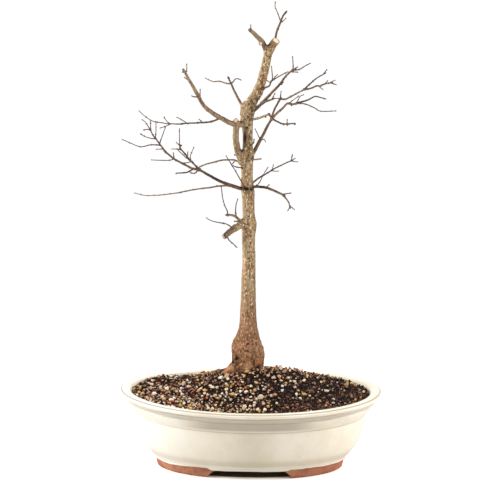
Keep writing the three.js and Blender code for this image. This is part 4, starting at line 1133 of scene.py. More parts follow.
def pale_share(x, y):
    """Where pale stones lie thick: on the left and in front, thin at the right and back."""
    share = 1 - 0.9 * smoothstep(x - 0.35 * y, 12, 75)
    share *= 1 - 0.75 * smoothstep(y, 20, 80) * (1 - smoothstep(x, -20, 60))
    return share * (0.25 + 0.75 * smoothstep(noise.noise(Vector((x, y, 4)) / 22), -0.25, 0.3))


def rust_share(x, y):
    """Lava lies all over, a little thinner at the right end and in patches."""
    return 0.75 - 0.4 * smoothstep(x, 60, 150) + 0.25 * noise.noise(Vector((x, y, 9)) / 22)


def crumb_share(_x, _y):
    """Loam crumbs lie evenly."""
    return 0.9


def fine_share(x, y):
    """Fines gather at the right and along the back-left rim."""
    share = 0.15 + 0.85 * smoothstep(x, 60, 125)
    back_left = smoothstep(y, 45, 90) * (1 - smoothstep(x, -60, 20))
    return max(share, back_left * 0.9)


# The largest stones by tone: x, y and size
LARGE_STONES = {
    0.0: [(-142, 25, 5.4), (-75, -46, 6.8), (-75, -63, 4.5), (-47, -6, 9.8), (-16, -49, 6.9),
          (-44, -49, 6.6), (49, -29, 8.1), (49, -40, 6.6), (71, -45, 6.9), (85, -1, 11.4),
          (137, 42, 4.5), (112, -13, 3.6)],
    0.2: [(-136, -38, 9.9), (-128, -26, 6.9), (-117, -1, 8.1), (-107, -24, 6.9),
          (-113, -49, 8.4), (-71, -26, 6.6), (-59, -27, 8.1), (-53, -81, 7.5), (-39, -69, 6.9),
          (-7, -52, 9.9), (1, -39, 9.6), (9, -68, 8.4), (16, -63, 9.9), (59, -1, 6),
          (68, -9, 8.1), (-1, -88, 7.5), (-103, -68, 6.9), (-55, -51, 6.9)],
    0.42: [(-153, -26, 6.6), (-134, 26, 6.6), (-142, -27, 6.6), (-106, 22, 10.5),
           (-97, 0, 9.6), (-100, -44, 6.9), (-60, -67, 4.5), (4, -55, 6.9), (-4, -69, 6),
           (-12, -65, 5.1), (-31, -7, 6.9), (69, -25, 6.9), (36, -10, 6.9), (96, -21, 6),
           (18, -34, 6)],
    0.58: [(-166, 21, 6.6), (-90, -68, 7.5), (-81, -27, 9.3), (19, -75, 6.9), (38, -54, 8.4),
           (80, 33, 6.9), (145, 37, 6), (74, -33, 6), (49, 37, 5.4), (172, -4, 6),
           (28, 130, 5.4), (108, -54, 5.4)],
    0.76: [(-175, -15, 6.9), (-29, -57, 10.2), (89, 30, 6.9), (84, -41, 8.4), (161, 45, 8.1),
           (32, -96, 5.4)],
    0.88: [(66, -90, 6.9)],
    1.0: [(152, 17, 8.1), (129, 32, 6.9), (-118, 21, 6.9), (33, -38, 6)],
}

# How each kind lies, and its tones as position and screen colour
GRAINS = {
    "pumice": {
        "count": 960, "smallest": 3.3, "largest": 9, "corners": 10, "worn": True,
        "density": pale_share, "apart": 0.75, "lift": (0.3, 0.6), "flatness": (0.65, 1.15),
        "laid": 0.85, "chosen": LARGE_STONES,
        "tones": [(0, 255, 250, 238), (0.2, 246, 228, 196), (0.42, 232, 200, 180),
                  (0.58, 206, 162, 120), (0.76, 224, 192, 118), (0.88, 204, 108, 66),
                  (1, 150, 112, 104)],
    },
    "lava": {
        "count": 1500, "smallest": 2.8, "largest": 8, "corners": 9, "worn": True,
        "density": rust_share, "apart": 0.7, "lift": (0.05, 0.45), "flatness": (0.6, 1.15),
        "laid": 0.9,
        "tones": [(0, 92, 60, 50), (0.25, 124, 84, 66), (0.45, 70, 46, 42),
                  (0.65, 150, 108, 82), (0.8, 104, 76, 80), (0.92, 176, 136, 104),
                  (1, 160, 84, 50)],
    },
    "loam_crumbs": {
        "count": 4600, "smallest": 2, "largest": 6, "corners": 11, "worn": False,
        "density": crumb_share, "apart": 0.5, "lift": (0, 0.5), "flatness": (0.6, 1.15),
        "laid": 0.95,
        "tones": [(0, 24, 15, 13), (0.35, 40, 27, 23), (0.6, 60, 41, 33), (0.8, 34, 26, 28),
                  (0.93, 104, 78, 62), (1, 150, 120, 98)],
    },
    "fines": {
        "count": 6000, "smallest": 1.2, "largest": 2.6, "corners": 9, "worn": False,
        "density": fine_share, "apart": 0.5, "lift": (0.1, 0.7), "flatness": (0.6, 1.1),
        "laid": 0.9,
        "tones": [(0, 44, 30, 26), (0.5, 74, 54, 44), (0.8, 108, 84, 70), (0.93, 176, 154, 132),
                  (1, 232, 222, 206)],
    },
}


# The tree

BARK, BUD, CUT_WOOD = 0, 1, 2


class Wood:
    """Closed shells of wood in millimetres, gathered before they become one mesh."""

    def __init__(self):
        self.points, self.faces, self.slots = [], [], []
        self.girths, self.pales, self.grains = [], [], []

    def add_shell(self, rings, start, end, girths, pale=0.0, slots=None, grains=None):
        """Rings of equally many points, closed on one point at each end."""
        first = len(self.points)
        sides = len(rings[0])
        for ring in rings:
            self.points.extend(ring)
        self.points.extend((start, end))
        low_end, high_end = len(self.points) - 2, len(self.points) - 1
        slots = slots or [BARK] * (len(rings) + 1)
        grains = grains or [1.0] * len(rings)
        for girth, grain in zip(girths, grains):
            self.girths.extend([girth] * sides)
            self.grains.extend([grain] * sides)
        self.girths.extend((girths[0], girths[-1]))
        self.grains.extend((1.0, 0.0))
        self.pales.extend([pale] * (len(rings) * sides + 2))
        last = first + (len(rings) - 1) * sides
        for side in range(sides):
            beside = (side + 1) % sides
            self.faces.append((low_end, first + beside, first + side))
            self.slots.append(slots[0])
            for ring in range(len(rings) - 1):
                low = first + ring * sides
                high = low + sides
                self.faces.append((low + side, low + beside, high + beside, high + side))
                self.slots.append(slots[ring + 1])
            self.faces.append((high_end, last + side, last + beside))
            self.slots.append(slots[-1])

    def piece(self, name):
        wood = mesh_piece(name, [tuple(point * MM) for point in self.points], self.faces)
        bare = [0.0] * len(self.points)
        for label, values in (("girth", self.girths), ("pale", self.pales),
                              ("grain", self.grains), ("rust", bare), ("bleach", bare),
                              ("stain_and_shade", patches_on(np.array(self.points), STAINS_AND_SHADE))):
            add_attribute(wood.data, label, values)
        wood.data.polygons.foreach_set("material_index", self.slots)
        return wood


def ways_round(across, up, count):
    """Directions in equal steps round a circle."""
    turns = [2 * math.pi * i / count for i in range(count)]
    return [across * math.cos(turn) + up * math.sin(turn) for turn in turns]


def smooth_route(route, step):
    """A curve through the route's points, with a point about every step."""
    knots = [Vector(place) for place in route]
    path = [knots[0]]
    for i, (near, far) in enumerate(zip(knots, knots[1:])):
        before = knots[i - 1] if i else near * 2 - far
        after = knots[i + 2] if i + 2 < len(knots) else far * 2 - near
        count = max(1, round((far - near).length / step))
        for k in range(1, count + 1):
            t = k / count
            path.append(0.5 * (
                2 * near + (far - before) * t + (2 * before - 5 * near + 4 * far - after) * t ** 2
                + (3 * near - before - 3 * far + after) * t ** 3))
    return path


class Limb:
    """A tapering limb along its route, with a frame carried along so that nothing twists."""

    def __init__(self, branch, step):
        self.name, self.start_radius, self.end_radius, route = branch
        self.path = smooth_route(route, step)
        self.gone = [0.0]
        for near, far in zip(self.path, self.path[1:]):
            self.gone.append(self.gone[-1] + (far - near).length)
        self.length = self.gone[-1]
        self.ways = []
        for i in range(len(self.path)):
            low, high = max(i - 1, 0), min(i + 1, len(self.path) - 1)
            self.ways.append((self.path[high] - self.path[low]).normalized())
        across = Vector((0, 1, 0)).cross(self.ways[0])
        if across.length < 0.2:
            across = Vector((1, 0, 0)).cross(self.ways[0])
        self.sides = []
        for way in self.ways:
            across = (across - way * across.dot(way)).normalized()
            self.sides.append(across.copy())

    def at(self, gone):
        """Place, way and sideways direction at a distance along the limb."""
        if gone <= 0:
            return self.path[0] + self.ways[0] * gone, self.ways[0], self.sides[0]
        last = len(self.path) - 1
        i = min(next((k for k, g in enumerate(self.gone) if g >= gone), last), last)
        low = max(i - 1, 0)
        span = self.gone[i] - self.gone[low]
        share = (gone - self.gone[low]) / span if span else 0
        place = self.path[low].lerp(self.path[i], min(share, 1))
        if gone > self.length:
            place = self.path[-1] + self.ways[-1] * (gone - self.length)
        return place, self.ways[i], self.sides[i]

    def radius(self, gone):
        share = min(max(gone / self.length, 0), 1)
        radius = self.start_radius + (self.end_radius - self.start_radius) * share
        return max(radius * (1 + 0.12 * (1 - smoothstep(radius, 1, 2.2))), THINNEST_TWIG)

    def ring(self, gone, radius, count, seed):
        """Points round the limb, a little uneven as bark is."""
        place, way, across = self.at(gone)
        up = way.cross(across)
        wobble = noise.noise_vector(place / 13 + Vector((seed, 0, 0))) * min(radius, 1.2) * 0.35
        ring = []
        for out in ways_round(across, up, count):
            rough = 1 + 0.16 * noise.noise(place / 2.5 + out * 2 + Vector((0, seed, 0)))
            ring.append(place + wobble + out * radius * rough)
        return ring


def twig_nodes(limb, random):
    """Distances along a young shoot at which it has its pairs of buds."""
    nodes = []
    gone = limb.start_radius * 2 + random.uniform(2, 6)
    spacing = 8 + 5 * limb.start_radius
    while gone < limb.length - 1.5:
        nodes.append(gone)
        gone += spacing * random.uniform(0.55, 1.15)
    return nodes


def add_bud(wood, place, way, length, radius, pale):
    """A pointed winter bud with its scales swelling at the base."""
    across = way.orthogonal().normalized()
    ways = ways_round(across, way.cross(across), 6)
    rings = [[place + way * length * share + out * radius * wide for out in ways]
             for share, wide in ((-0.1, 0.6), (0.16, 1), (0.45, 0.92), (0.78, 0.45))]
    end = place + way * length * 1.05
    start = place - way * length * 0.2
    slots = [BUD] * (len(rings) + 1)
    wood.add_shell(rings, start, end, [radius] * len(rings), pale, slots, [0.2, 0.4, 0.7, 0.95])


def add_twig(wood, branch, random, bud_length):
    """One twig with a knuckle where it forks off, swollen nodes, paired buds and its tip."""
    limb = Limb(branch, TWIG_STEP)
    young = limb.end_radius < 1.25
    nodes = twig_nodes(limb, random) if young or limb.start_radius < 2 else []
    seed = random.uniform(0, 40)
    sides = STOUT_SIDES if limb.start_radius > STOUT_TWIG else TWIG_SIDES
    pale = (1.0 if limb.name in PALE_LIMBS else 0.0) * random.uniform(0.7, 1)
    pale = max(pale, random.uniform(0, 0.3))
    stations = {-1.5 * limb.start_radius, -0.8 * limb.start_radius, 0.0}
    stations.update(limb.gone)
    for node in nodes:
        stations.update((node - 0.9, node, node + 0.9))
    gones = []
    for gone in sorted(stations):
        if not gones or gone - gones[-1] > SHORTEST_STEP:
            gones.append(gone)
    rings, girths = [], []
    for gone in gones:
        radius = limb.radius(gone)
        knuckle = 0.55 * math.exp(-(gone / (1.7 * limb.start_radius)) ** 2)
        if gone < -limb.start_radius:
            knuckle = -0.3
        node = max((0.18 * math.exp(-((gone - n) / 0.7) ** 2) for n in nodes), default=0)
        rings.append(limb.ring(gone, radius * (1 + knuckle + node), sides, seed))
        girths.append(radius)
    start = limb.at(-1.8 * limb.start_radius)[0]
    end_place, end_way, end_side = limb.at(limb.length)
    wood.add_shell(rings, start, end_place + end_way * limb.end_radius * 0.8, girths, pale)
    turn = random.uniform(0, math.pi)
    for node in nodes:
        place, way, across = limb.at(node)
        up = way.cross(across)
        turn += math.pi / 2 + random.uniform(-0.35, 0.35)
        for side in (0, math.pi):
            if random.random() < 0.22:
                continue
            out = across * math.cos(turn + side) + up * math.sin(turn + side)
            lean = (way * random.uniform(0.5, 0.9) + out * 0.8).normalized()
            length = bud_length * random.uniform(0.6, 1.05)
            base = place + out * limb.radius(node) * 0.75
            add_bud(wood, base, lean, length, length * 0.3, pale)
    length = bud_length * random.uniform(1.05, 1.4)
    add_bud(wood, end_place, end_way, length, max(limb.end_radius * 1.15, length * 0.26), pale)
    for side in (-1, 1):
        out = end_side * side * random.uniform(0.6, 1)
        lean = (end_way + out * 0.9).normalized()
        small = length * random.uniform(0.5, 0.75)
        add_bud(wood, end_place + out * limb.end_radius * 0.6, lean, small, small * 0.3, pale)


def add_cut(wood, place, facing, radius, tall, pink):
    """A pruned stump: bark, a rolled lip of callus and the flat cut inside it."""
    place, way = Vector(place), Vector(facing).normalized()
    across = way.orthogonal().normalized()
    ways = ways_round(across, way.cross(across), LIMB_SIDES)
    shape = [(-1.6, 0.98, BARK), (-0.4, 1, BARK), (0.55, 1.02, BARK), (0.86, 1.03, BARK),
             (1, 0.96, BARK), (0.98, 0.87, BARK), (0.88, 0.83, CUT_WOOD), (0.88, 0.55, CUT_WOOD),
             (0.86, 0.28, CUT_WOOD)]
    rings = []
    for share, wide, _ in shape:
        ring = []
        for out in ways:
            uneven = 1 + 0.07 * noise.noise(out * 1.7 + place)
            dip = 0.25 * noise.noise(out * 2.2 + place * 2)
            ring.append(place + way * (tall * share + dip) + out * radius * wide * uneven)
        rings.append(ring)
    slots = [BARK] + [slot for _, _, slot in shape]
    grains = [1.0] * 6 + [0.95, 0.62, 0.32]
    wood.add_shell(rings, place - way * tall * 2, place + way * tall * 0.87,
                   [max(radius, 3)] * len(rings), pink, slots, grains)


def trunk_shell(wood):
    """The trunk from its buried stub to the old head, with the flare and hollow at its foot."""
    heights = np.linspace(TRUNK[0][0], TRUNK[-1][0], TRUNK_LEVELS)
    levels = [trunk_level(height) for height in heights]
    rings = [trunk_ring(height, TRUNK_SIDES) for height in heights]
    bottom, top = TRUNK[0], TRUNK[-1]
    wood.add_shell(rings, Vector((bottom[1], bottom[2], bottom[0])),
                   Vector((top[1], top[2], top[0] + 1.5)), [level[2] for level in levels])
    return [(Vector((x, y, height)), half_width, 1.0)
            for height, (x, y, half_width, _) in zip(heights, levels)]


def leaves_trunk(place):
    """True for a limb that starts inside the trunk."""
    x, y, half_width, _ = trunk_level(place.z)
    return place.z < TRUNK[-1][0] and math.hypot(place.x - x, place.y - y) < half_width


def add_thick_limb(wood, branch, stations):
    """A limb that flows into the trunk, with a collar where it leaves it."""
    limb = Limb(branch, LIMB_STEP)
    pale = 1.0 if limb.name in PALE_LIMBS else 0.25
    swell = 0.3 if leaves_trunk(limb.path[0]) else 0.1
    rings, girths = [], []
    for gone in limb.gone:
        radius = limb.radius(gone)
        collar = swell * math.exp(-(gone / (3.2 * limb.start_radius)) ** 2)
        knuckle = 0.08 * noise.noise(limb.at(gone)[0] / 9)
        rings.append(limb.ring(gone, radius * (1 + collar + knuckle), LIMB_SIDES, 5.0))
        girths.append(radius)
        stations.append((limb.at(gone)[0], radius, pale))
    tip = limb.at(limb.length + limb.end_radius * 0.25)[0]
    wood.add_shell(rings, limb.path[0], tip, girths)


def relief_on(place, girth):
    """How far the bark stands out at a place, in millimetres."""
    foot = 1 - smoothstep(place.z, 188, 222)
    thick = min(1, girth / 6)
    long_wave = noise.noise(Vector((place.x / 7, place.y / 7, place.z / 42))) * 0.7 * thick
    streak = noise.noise(Vector((place.x / 2, place.y / 2, place.z / 13))) * 0.34 * thick
    grit = noise.noise(place / 1.6) * 0.16 * (0.4 + 0.6 * thick)
    lumps = noise.noise(place / 10 + Vector((5, 5, 5))) * 1.7 + noise.noise(place / 4.6) * 0.9
    flakes = abs(noise.noise(place / 2.6 + Vector((1, 8, 2)))) * 1.1 - 0.3
    return long_wave + streak + grit + foot * (lumps + flakes * 0.8)


def patches_on(places, patches):
    """How strongly each point lies in one of the patches, 0 where it lies in none."""
    share = np.zeros(len(places))
    for place, across, up, strength in patches:
        apart = (places - np.array(place)) / np.array([across, across * 2.5, up])
        share = np.maximum(share, strength * np.exp(-(apart ** 2).sum(axis=1) * 1.2))
    return share


def read_vertices(mesh, name):
    """One vector of each vertex, as rows of an array."""
    values = np.empty(len(mesh.vertices) * 3, dtype=np.float32)
    mesh.vertices.foreach_get(name, values)
    return values.reshape(-1, 3)


def carve_bark(body, stations):
    """Bark relief, knots and the paint of girth, paleness, stains and painted shade on the thick wood.
    """
    mesh = body.data
    places = read_vertices(mesh, "co").astype(float) / MM
    normals = read_vertices(mesh, "normal").astype(float)
    count = len(places)
    tree = kdtree.KDTree(len(stations))
    for number, (centre, _, _) in enumerate(stations):
        tree.insert(centre, number)
    tree.balance()
    girths, pales, relief = np.empty(count), np.empty(count), np.empty(count)
    for i, place in enumerate(places):
        place = Vector(place)
        near = tree.find_n(place, 10)
        nearest = min(near, key=lambda found: found[2] - stations[found[1]][1])
        _, girths[i], pales[i] = stations[nearest[1]]
        relief[i] = relief_on(place, girths[i])
    for place, reach, rise in LUMPS:
        away = np.linalg.norm(places - np.array(place), axis=1)
        relief += rise * np.exp(-((away / reach) ** 2) * 2)
    stain_and_shade, rust, bleach = (patches_on(places, kind) for kind in (STAINS_AND_SHADE, RUSTY, BLEACHED))
    relief -= stain_and_shade * STAIN_DEPTH * (girths > STAIN_GIRTH)
    moved = (places + normals * relief[:, None]) * MM
    mesh.vertices.foreach_set("co", moved.astype(np.float32).ravel())
    mesh.update()
    for name, values in (("girth", girths), ("pale", pales), ("grain", np.ones(count)),
                         ("stain_and_shade", stain_and_shade), ("rust", rust), ("bleach", bleach)):
        if name in mesh.attributes:
            mesh.attributes.remove(mesh.attributes[name])
        add_attribute(mesh, name, values)


def make_tree(settings):
    """One grown piece: thick wood flowing together, twigs sunk into it, buds and cuts."""
    thick = Wood()
    stations = trunk_shell(thick)
    for root in ROOTS:
        add_thick_limb(thick, ["root", *root], stations)
    for branch in BRANCHES:
        if branch[1] > THICK_LIMB:
            add_thick_limb(thick, branch, stations)
    body = thick.piece("maple_tree")
    remesh = body.modifiers.new("flow_together", "REMESH")
    remesh.mode = "VOXEL"
    remesh.voxel_size = settings.voxel
    smooth = body.modifiers.new("ease", "SMOOTH")
    smooth.factor = 0.5
    smooth.iterations = 4
    apply_modifiers(body)
    carve_bark(body, stations)
    thin = Wood()
    random = np.random.default_rng(settings.seed)
    for branch in BRANCHES:
        if branch[1] <= THICK_LIMB:
            add_twig(thin, branch, random, settings.bud_length / MM)
    for cut in CUTS:
        add_cut(thin, *cut)
    for place in KNOBS:
        add_knob(thin, place, random)
    twigs = thin.piece("maple_twigs")
    materials = bark_material(settings), bud_material(), cut_wood_material()
    for wood in (body, twigs):
        for material in materials:
            wood.data.materials.append(material)
    tree = join_pieces([body, twigs], "maple_tree")
    # The normals' sideways and upward parts, which the bark's painted shade reads
    normals = read_vertices(tree.data, "normal")
    add_attribute(tree.data, "flank", normals[:, 0])
    add_attribute(tree.data, "upper", normals[:, 2])
    bpy.ops.object.shade_smooth_by_angle(angle=math.radians(50))
    return tree


def add_knob(wood, place, random):
    """A healed knuckle on a twig: an uneven round swelling."""
    *centre, radius = place
    centre, up = Vector(centre), Vector((0, 0, 1))
    rings = []
    for share in (-0.75, -0.3, 0.2, 0.65):
        wide = math.sqrt(1 - share * share) * radius
        rings.append([centre + out * wide * random.uniform(0.85, 1.15) + up * share * radius
                      for out in ways_round(Vector((1, 0, 0)), Vector((0, 1, 0)), KNOB_SIDES)])
    top = up * radius
    wood.add_shell(rings, centre - top, centre + top, [KNOB_GIRTH] * 4,
                   random.uniform(0.2, 0.7))


def bark_material(settings):
    """Trunk bark in tan and brown, redder at the foot, greyer on limbs and dark on twigs."""
    surface = Surface("maple_bark", 0.9, 0.1)
    over, mix, ranged, times = surface.over, surface.mix, surface.range, surface.times

    def patches(scale, stretch, low, high):
        return surface.group("Mottle", Scale=scale, Stretch=stretch, Low=low, High=high,
                             Detail=4.0)

    girth, pale, upper, flank, stain_and_shade, rust, bleach = (
        surface.read(name)
        for name in ("girth", "pale", "upper", "flank", "stain_and_shade", "rust", "bleach"))
    height = surface.apart(surface.place)["Z"]
    broad = patches(55.0, 3.0, 0.38, 0.62)
    streaks = patches(330.0, 7.0, 0.42, 0.66)
    flecks = patches(400.0, 1.8, 0.54, 0.63)
    spots = patches(125.0, 2.2, 0.53, 0.63)
    nicks = patches(310.0, 1.6, 0.54, 0.61)
    moss = patches(75.0, 1.6, 0.52, 0.68)
    blush = patches(62.0, 1.4, 0.54, 0.66)
    old = mix(broad["Mask"], settings.bark, settings.bark_brown)
    for kind, share, colour in (
            (moss, 0.55, (146, 132, 84)), (blush, 0.4, (188, 144, 116)),
            (streaks, 0.45, (128, 96, 66)), (spots, 0.6, (122, 90, 54)),
            (nicks, 0.95, (98, 68, 40)), (flecks, 0.95, (244, 222, 188))):
        old = over(old, times(kind["Mask"], share), *colour)
    foot = mix(broad["Mask"], settings.foot, settings.foot_pink)
    for kind, share, colour in (
            (moss, 0.5, (132, 104, 66)), (streaks, 0.5, (104, 68, 46)),
            (spots, 0.5, (92, 60, 40)), (nicks, 0.95, (74, 46, 30)),
            (flecks, 0.9, (220, 172, 132))):
        foot = over(foot, times(kind["Mask"], share), *colour)
    ragged = times(surface.math("SUBTRACT", broad["Height"], 0.5), 0.09)
    low = ranged(surface.math("ADD", height, ragged), 0.3, 0.196)
    thick = mix(low, old, foot)
    thick = mix(times(rust, 0.75), thick, settings.foot_orange)
    thick = over(thick, times(bleach, 0.8), 214, 166, 120)
    limb = mix(streaks["Mask"], linear(166, 142, 112), linear(118, 90, 70))
    dark_limb = mix(streaks["Mask"], linear(120, 94, 80), linear(84, 62, 56))
    twig = over(settings.twig, flecks["Mask"], 116, 96, 88)
    pale_twig = mix(flecks["Mask"], linear(138, 116, 90), linear(164, 146, 118))
    colour = mix(ranged(girth, 1.9, 1.2), mix(pale, dark_limb, limb), mix(pale, twig, pale_twig))
    # Painted shade: limbs and twigs are painted darker on the side that faces up
    colour = over(colour, ranged(upper, 0.15, 0.8, 0.0, 0.65), 66, 48, 44)
    stout = surface.math("MAXIMUM", ranged(girth, 4.4, 6.4), low)
    colour = mix(stout, colour, thick)
    # Painted shade: what faces up is darker, and so are the flanks, the right one most of all
    colour = over(colour, ranged(upper, 0.45, 0.95, 0.0, 0.45), 92, 62, 42)
    colour = over(colour, ranged(flank, 0.35, 1.0, 0.0, 0.6), 100, 80, 60)
    painted_left_shade = mix(low, linear(178, 156, 128), linear(98, 70, 50))
    colour = mix(ranged(flank, -0.4, -1.0, 0.0, 0.5), colour, painted_left_shade)
    # Stains, and painted shade in hollows, crotches and under limbs, darken the bark
    colour = over(colour, times(stain_and_shade, 0.94, clamp=True), 38, 24, 18)
    relief = mix(0.5, streaks["Height"], flecks["Height"])
    return surface.finish(colour, relief, 0.55, 1.1 * MM)


def bud_material():
    """Winter buds: red-brown scales with darker tips."""
    surface = Surface("winter_bud", 0.6, 0.35)
    colour = surface.ramp(surface.read("grain"),
                          [(0.0, 98, 70, 58), (0.5, 112, 66, 52), (1.0, 62, 40, 36)])
    scales = surface.group("Mottle", Scale=900.0, Low=0.4)
    colour = surface.over(colour, surface.times(scales["Mask"], 0.4), 140, 96, 74)
    return surface.finish(colour, scales["Height"], 0.4, 0.4 * MM)


def cut_wood_material():
    """Bare wood of an old cut: pale rings round its heart, pinker where it is fresh."""
    surface = Surface("cut_wood", 0.75, 0.3)
    over, mix, times = surface.over, surface.mix, surface.times
    grain, pink, stain_and_shade = (surface.read(name) for name in ("grain", "pale", "stain_and_shade"))
    rings = surface.range(surface.math("SINE", times(grain, 34.0)), -0.4, 1.0)
    wood = mix(rings, linear(252, 232, 200), linear(236, 206, 164))
    blush = mix(rings, linear(250, 214, 192), linear(232, 186, 160))
    dust = surface.group("Mottle", Scale=500.0, Low=0.45)
    colour = over(mix(pink, wood, blush), times(dust["Mask"], 0.2), 190, 156, 120)
    # The same stains and painted shade darken the cut wood
    colour = over(colour, times(stain_and_shade, 0.85, clamp=True), 128, 88, 62)
    colour = over(colour, surface.range(grain, 0.16, 0.05, 0.0, 0.5), 160, 116, 84)
    return surface.finish(colour, rings, 0.3, 0.3 * MM)


# The drainage screens keep their solids and get their plastic

def plastic_material():
    """Dark moulded mesh, dull with soil dust."""
    surface = Surface("screen_plastic", 0.55, 0.4)
    dust = surface.group("Mottle", Scale=190.0, Low=0.45)["Mask"]
    mould = surface.group("Speckle", Scale=1500.0, Size=0.4)
    colour = surface.mix(dust, linear(34, 40, 42), linear(74, 62, 52))
    surface.feed(surface.shader.inputs["Roughness"], surface.range(dust, 0.0, 1.0, 0.45, 0.9))
    return surface.finish(colour, mould["Mask"], 0.15, 0.2 * MM)


# The studio

CAMERA_PLACE = (-0.0007, -3.5383, 1.1107)
CAMERA_PITCH = 12.207  # degrees under the horizon
CAMERA_YAW = 0.05
CAMERA_ROLL = 0.726
CAMERA_LENS = 167.7
PURE_WHITE = 1.02  # what the camera sees where there is nothing
SHADOW_HALF_WIDTH = 0.1465  # the contact shadow under the feet
SHADOW_HALF_DEPTH = 0.0775
SOFTBOX_PLACE = (2.2, -0.25, 1.0)
SOFTBOX_AIM = (0, 0, 0.25)
SOFTBOX_SIZE = (1.6, 2.2)


def place_camera():
    """A long lens in front of the pot, looking a little down, as the photograph was taken."""
    data = bpy.data.cameras.new("studio_camera")
    data.lens = CAMERA_LENS
    data.sensor_width = 36
    data.clip_end = 60
    camera = bpy.data.objects.new("studio_camera", data)
    bpy.context.scene.collection.objects.link(camera)
    turn = (Matrix.Rotation(math.radians(CAMERA_YAW), 4, "Z")
            @ Matrix.Rotation(math.radians(90 - CAMERA_PITCH), 4, "X")
            @ Matrix.Rotation(math.radians(CAMERA_ROLL), 4, "Z"))
    camera.matrix_world = Matrix.Translation(CAMERA_PLACE) @ turn
    bpy.context.scene.camera = camera


def place_softbox(name, side, power):
    """A large soft light at one side of the object."""
    data = bpy.data.lights.new(name, "AREA")
    data.shape = "RECTANGLE"
    data.size, data.size_y = SOFTBOX_SIZE
    data.energy = power
    light = bpy.data.objects.new(name, data)
    bpy.context.scene.collection.objects.link(light)
    light.location = (side * SOFTBOX_PLACE[0], *SOFTBOX_PLACE[1:])
    away = light.location - Vector(SOFTBOX_AIM)
    light.rotation_euler = away.to_track_quat("Z", "Y").to_euler()


def make_floor(settings):
    """A pale sweep that runs on past the view on all sides."""
    deselect_all()
    bpy.ops.mesh.primitive_plane_add(size=settings.floor_size)
    floor = bpy.context.object
    floor.name = "floor"
    floor.data.materials.append(floor_material())


def floor_material():
    """Matt white. The camera sees it brighter than it lights the pot from below."""
    surface = Surface("pale_floor", 0.9, 0.0)
    cloud = surface.group("Mottle", Scale=0.8, Low=0.2, High=0.9)
    colour = surface.mix(cloud["Mask"], (0.68, 0.68, 0.68), (0.72, 0.72, 0.72))
    surface.feed(surface.shader.inputs["Base Color"], colour)
    lit = surface.shader.outputs[0]

    def diffuse(red, green, blue):
        return surface.add("ShaderNodeBsdfDiffuse", {"Color": (red, green, blue)}).outputs[0]

    def blend(share, first, second):
        return surface.add("ShaderNodeMixShader", {0: share, 1: first, 2: second}).outputs[0]

    near = surface.add("ShaderNodeAddShader", {0: diffuse(0.96, 0.96, 0.96), 1: lit}).outputs[0]
    # In the contact shadow under the pot it is dark, and away from the pot pure white
    apart = surface.apart(surface.place)
    across, along = (
        surface.math("POWER", surface.math("DIVIDE", apart[axis], reach), 2.0)
        for axis, reach in (("X", SHADOW_HALF_WIDTH), ("Y", SHADOW_HALF_DEPTH)))
    under = surface.range(surface.math("ADD", across, along), 1.02, 0.9)
    near = blend(under, near, diffuse(0.12, 0.08, 0.06))
    distance = surface.add("ShaderNodeVectorMath", {0: surface.place}, operation="LENGTH")
    far = surface.range(distance.outputs["Value"], 0.35, 0.8)
    white = surface.add("ShaderNodeEmission", {"Strength": PURE_WHITE}).outputs[0]
    seen = surface.add("ShaderNodeLightPath").outputs["Is Camera Ray"]
    end = surface.tree.nodes["Material Output"].inputs["Surface"]
    surface.feed(end, blend(seen, lit, blend(far, near, white)))
    return surface.material


def make_world(settings):
    """White all round, brightest above and at the sides, dimmer in front of the pot."""
    world = bpy.data.worlds.new("studio_white")
    world.use_nodes = True
    shade = Shade(world.node_tree)
    back = world.node_tree.nodes["Background"].inputs
    shade.feed(back["Color"], (1, 1, 1))
    apart = shade.apart(shade.add("ShaderNodeTexCoord").outputs["Generated"])
    depth = shade.range(apart["Y"], -0.9, 0.3, settings.front, settings.fill)
    sides = shade.range(shade.math("ABSOLUTE", apart["X"]), 0.4, 1.0, 0.0, 0.5)
    above = shade.range(apart["Z"], 0.3, 1.0, 0.0, 0.35)
    strength = shade.math("ADD", depth, shade.math("ADD", sides, above))
    seen = shade.add("ShaderNodeLightPath").outputs["Is Camera Ray"]
    strength = shade.math("MAXIMUM", strength, shade.times(seen, PURE_WHITE))
    shade.feed(back["Strength"], strength)
    bpy.context.scene.world = world
    bpy.context.scene.view_settings.view_transform = "Standard"


# What a user can change

def colour_setting(name, description, red, green, blue):
    return FloatVectorProperty(name=name, description=description, subtype="COLOR", size=3,
                               min=0, max=1, default=linear(red, green, blue))


def length_setting(name, description, length):
    return FloatProperty(name=name, description=description, default=length, unit="LENGTH")


class PotSettings(bpy.types.PropertyGroup):
    """Colours and finish of the pot"""

    glaze: colour_setting("Glaze", "Cream of the glaze", 246, 236, 217)
    glaze_warm: colour_setting("Warm glaze", "Glaze where it is thinner", 240, 228, 205)
    clay: colour_setting("Clay", "Bare fired clay of the feet", 196, 134, 100)
    clay_dark: colour_setting("Dark clay", "Clay where it fired darker", 164, 102, 74)
    glaze_edge: length_setting("Glaze edge", "Height at which the glaze ends", 13.1 * MM)
    foot_bare: length_setting("Bare foot", "Clay left bare at the inner ends", 3.0 * MM)
    wall_waver: length_setting("Waver", "How far the wall wavers from true", 0.5 * MM)


class SoilSettings(bpy.types.PropertyGroup):
    """Colours of the soil and the draw of its grains"""

    loam: colour_setting("Loam", "Soil between the grains", 18, 12, 10)
    loam_light: colour_setting("Light loam", "Drier soil", 40, 27, 22)
    seed: IntProperty(name="Seed", description="Draw of the grains", default=7, min=0)


